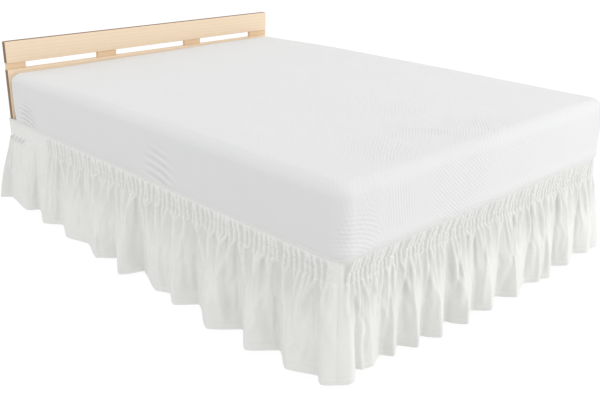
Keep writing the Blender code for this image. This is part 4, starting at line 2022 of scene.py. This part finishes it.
@dataclass
class Headboard:
    """Two pine boards with four blocks between them, on two legs."""

    board_radius: float = 0.0028
    block_radius: float = 0.0012
    block_margin: float = 0.003
    post_radius: float = 0.002
    post_chamfer: float = 0.006
    post_foot: tuple[float, float] = (0.88, 0.70)

    def build(self) -> list[Piece]:
        """Make the boards, blocks and legs.

        Returns:
            The new pieces.
        """
        sawn, board_pine, block_pine, post_pine = (
            finish.material() for finish in (SAWN_PINE, BOARD_PINE, BLOCK_PINE, POST_PINE))
        pieces = [self.board("headboard_top_board", board_pine, sawn, (TO_RIGHT, TO_LEFT, UP)),
                  self.board("headboard_lower_board", board_pine, sawn, (TO_RIGHT, TO_LEFT))]
        pieces += [self.block(f"headboard_block_{number}", block_pine) for number in (1, 2, 3, 4)]
        pieces += [self.post(f"headboard_leg_{side}", post_pine, sawn)
                   for side in ("left", "right")]
        return pieces

    def board(self, name: str, pine: Material, sawn: Material,
              sawn_sides: tuple[Vector, ...]) -> Piece:
        """Make one long board with eased edges and sawn ends.

        Args:
            name: The node that it replaces.
            pine: Its planed wood.
            sawn: Its sawn wood.
            sawn_sides: The directions that its sawn faces look along.

        Returns:
            The board.
        """
        low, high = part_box(name)
        piece = start_box(f"{name}_planed", low, high)
        bpy.ops.object.mode_set(mode="EDIT")
        for share in (0.25, 0.5, 0.75):
            bpy.ops.mesh.select_all(action="SELECT")
            bpy.ops.mesh.bisect(plane_co=low.lerp(high, share), plane_no=TO_RIGHT)
        round_edges(piece, self.board_radius, 3)
        seat(piece, name, "board_pine", pine, sawn)
        self.paint(piece, sawn_sides)
        return piece

    def block(self, name: str, pine: Material) -> Piece:
        """Make one spacer block with crisp eased edges.

        Args:
            name: The node that it replaces.
            pine: Its planed wood.

        Returns:
            The block.
        """
        piece = start_box(f"{name}_planed", *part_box(name))
        pick_faces(piece, TO_FOOT)
        bpy.ops.mesh.inset(thickness=self.block_margin, depth=0.0)
        round_edges(piece, self.block_radius, 2)
        seat(piece, name, "block_pine", pine)
        return piece

    def post(self, name: str, pine: Material, sawn: Material) -> Piece:
        """Make one leg with a chamfered foot.

        Args:
            name: The node that it replaces.
            pine: Its planed wood.
            sawn: Its sawn wood.

        Returns:
            The leg.
        """
        low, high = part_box(name)
        piece = start_box(f"{name}_planed", low, high)
        pick_faces(piece, DOWN)
        bpy.ops.transform.translate(value=self.post_chamfer * UP)
        extrude_to(0.0, self.post_chamfer, (low + high) / 2, self.post_foot)
        round_edges(piece, self.post_radius, 2, 25.0)
        seat(piece, name, "board_pine", pine, sawn)
        self.paint(piece, (TO_RIGHT, TO_LEFT))
        return piece

    @staticmethod
    def paint(piece: Piece, sawn_sides: tuple[Vector, ...]) -> None:
        """Give the faces that look along a sawn side the piece's second material.

        Args:
            piece: The piece.
            sawn_sides: The directions that its sawn faces look along.
        """
        for polygon in piece.data.polygons:
            if any(polygon.normal.dot(side) > 0.9 for side in sawn_sides):
                polygon.material_index = 1


# ---------------------------------------------------------------- studio

class Lamp(NamedTuple):
    """A soft far lamp: its power, its turn from the foot (right positive), height and softness."""

    name: str
    power: float
    turn: float
    height: float
    softness: float


class Window(NamedTuple):
    """A near square lamp: its power in watts, its place, what it faces and its side."""

    name: str
    power: float
    place: Triple
    facing: Triple
    side: float


@dataclass
class Studio:
    """The floor, the light and the camera.

    Attributes:
        lens: The camera's focal length in millimetres.
        sensor: Width of its sensor in millimetres.
        place: Where the camera is.
        yaw: How far it looks to the right of the bed's length, in degrees.
        pitch: How far it looks down.
        roll: How far it leans.
    """

    floor_half: float = 60.0
    floor_height: float = -0.0006
    room_glow: float = 0.66
    lamps: tuple[Lamp, ...] = (Lamp("wide", 1.45, 35.0, 32.0, 175.0),
                               Lamp("rake", 0.70, -118.0, 18.0, 60.0))
    window: Window = Window("window", 17.0, (1.7, -3.3, 1.35), (0.0, -0.6, 0.4), 0.9)
    lens: float = 48.61
    sensor: float = 36.0
    place: Triple = (-2.293, -2.423, 1.374)
    yaw: float = 44.19
    pitch: float = 20.803
    roll: float = 0.911

    def build(self) -> None:
        """Lay the floor, hang the lights and set the camera."""
        scene = bpy.context.scene
        scene.view_settings.view_transform = "Standard"
        self.lay_floor()
        scene.world = bpy.data.worlds.new("soft_room")
        scene.world.use_nodes = True
        background = scene.world.node_tree.nodes["Background"]
        background.inputs["Color"].default_value = (1.0, 1.0, 1.0, 1.0)
        background.inputs["Strength"].default_value = self.room_glow
        for lamp in self.lamps:
            self.hang(lamp)
        self.open_window()
        scene.camera = self.set_camera()

    def lay_floor(self) -> None:
        """Lay the floor, which lights nothing."""
        bpy.ops.object.select_all(action="DESELECT")
        bpy.ops.mesh.primitive_plane_add(size=2.0 * self.floor_half,
                                         location=(0.0, 0.0, self.floor_height))
        floor = bpy.context.object
        floor.name = "floor"
        floor.data.materials.append(PlainFloor().material())
        floor.visible_diffuse = False

    @staticmethod
    def hang(lamp: Lamp) -> None:
        """Hang one far lamp.

        Args:
            lamp: The lamp.
        """
        light = bpy.data.lights.new(lamp.name, "SUN")
        light.energy = lamp.power
        light.angle = math.radians(lamp.softness)
        turn, height = math.radians(lamp.turn), math.radians(lamp.height)
        toward = Vector((math.sin(turn) * math.cos(height), -math.cos(turn) * math.cos(height),
                         math.sin(height)))
        add_object(lamp.name, light).rotation_euler = toward.to_track_quat("Z", "Y").to_euler()

    def open_window(self) -> None:
        """Set the near lamp, which is brighter on what is near to it."""
        light = bpy.data.lights.new(self.window.name, "AREA")
        light.energy = self.window.power
        light.size = self.window.side
        toward = Vector(self.window.place) - Vector(self.window.facing)
        turn = toward.to_track_quat("Z", "Y").to_matrix().to_4x4()
        holder = add_object(self.window.name, light)
        holder.matrix_world = Matrix.Translation(self.window.place) @ turn

    def set_camera(self) -> Piece:
        """Make the camera and place it.

        Returns:
            The camera.
        """
        data = bpy.data.cameras.new("camera")
        data.lens = self.lens
        data.sensor_width = self.sensor
        data.clip_end = 200.0
        yaw, pitch, roll = (math.radians(angle) for angle in (self.yaw, self.pitch, self.roll))
        forward = Vector((math.sin(yaw) * math.cos(pitch), math.cos(yaw) * math.cos(pitch),
                          -math.sin(pitch)))
        level = forward.cross(UP).normalized()
        upright = level.cross(forward)
        right = level * math.cos(roll) + upright * math.sin(roll)
        up = upright * math.cos(roll) - level * math.sin(roll)
        turn = Matrix((right, up, -forward)).transposed().to_4x4()
        camera = add_object("camera", data)
        camera.matrix_world = Matrix.Translation(self.place) @ turn
        return camera


def main() -> None:
    """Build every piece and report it."""
    logging.basicConfig(level=logging.INFO, format="%(name)s %(message)s")
    for assembly in (Skirt(), Mattress(), BedBase(), Headboard()):
        for piece in assembly.build():
            LOG.info("%s: %d faces", piece.name, len(piece.data.polygons))
    Studio().build()
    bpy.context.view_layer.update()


if __name__ == "__main__":
    main()
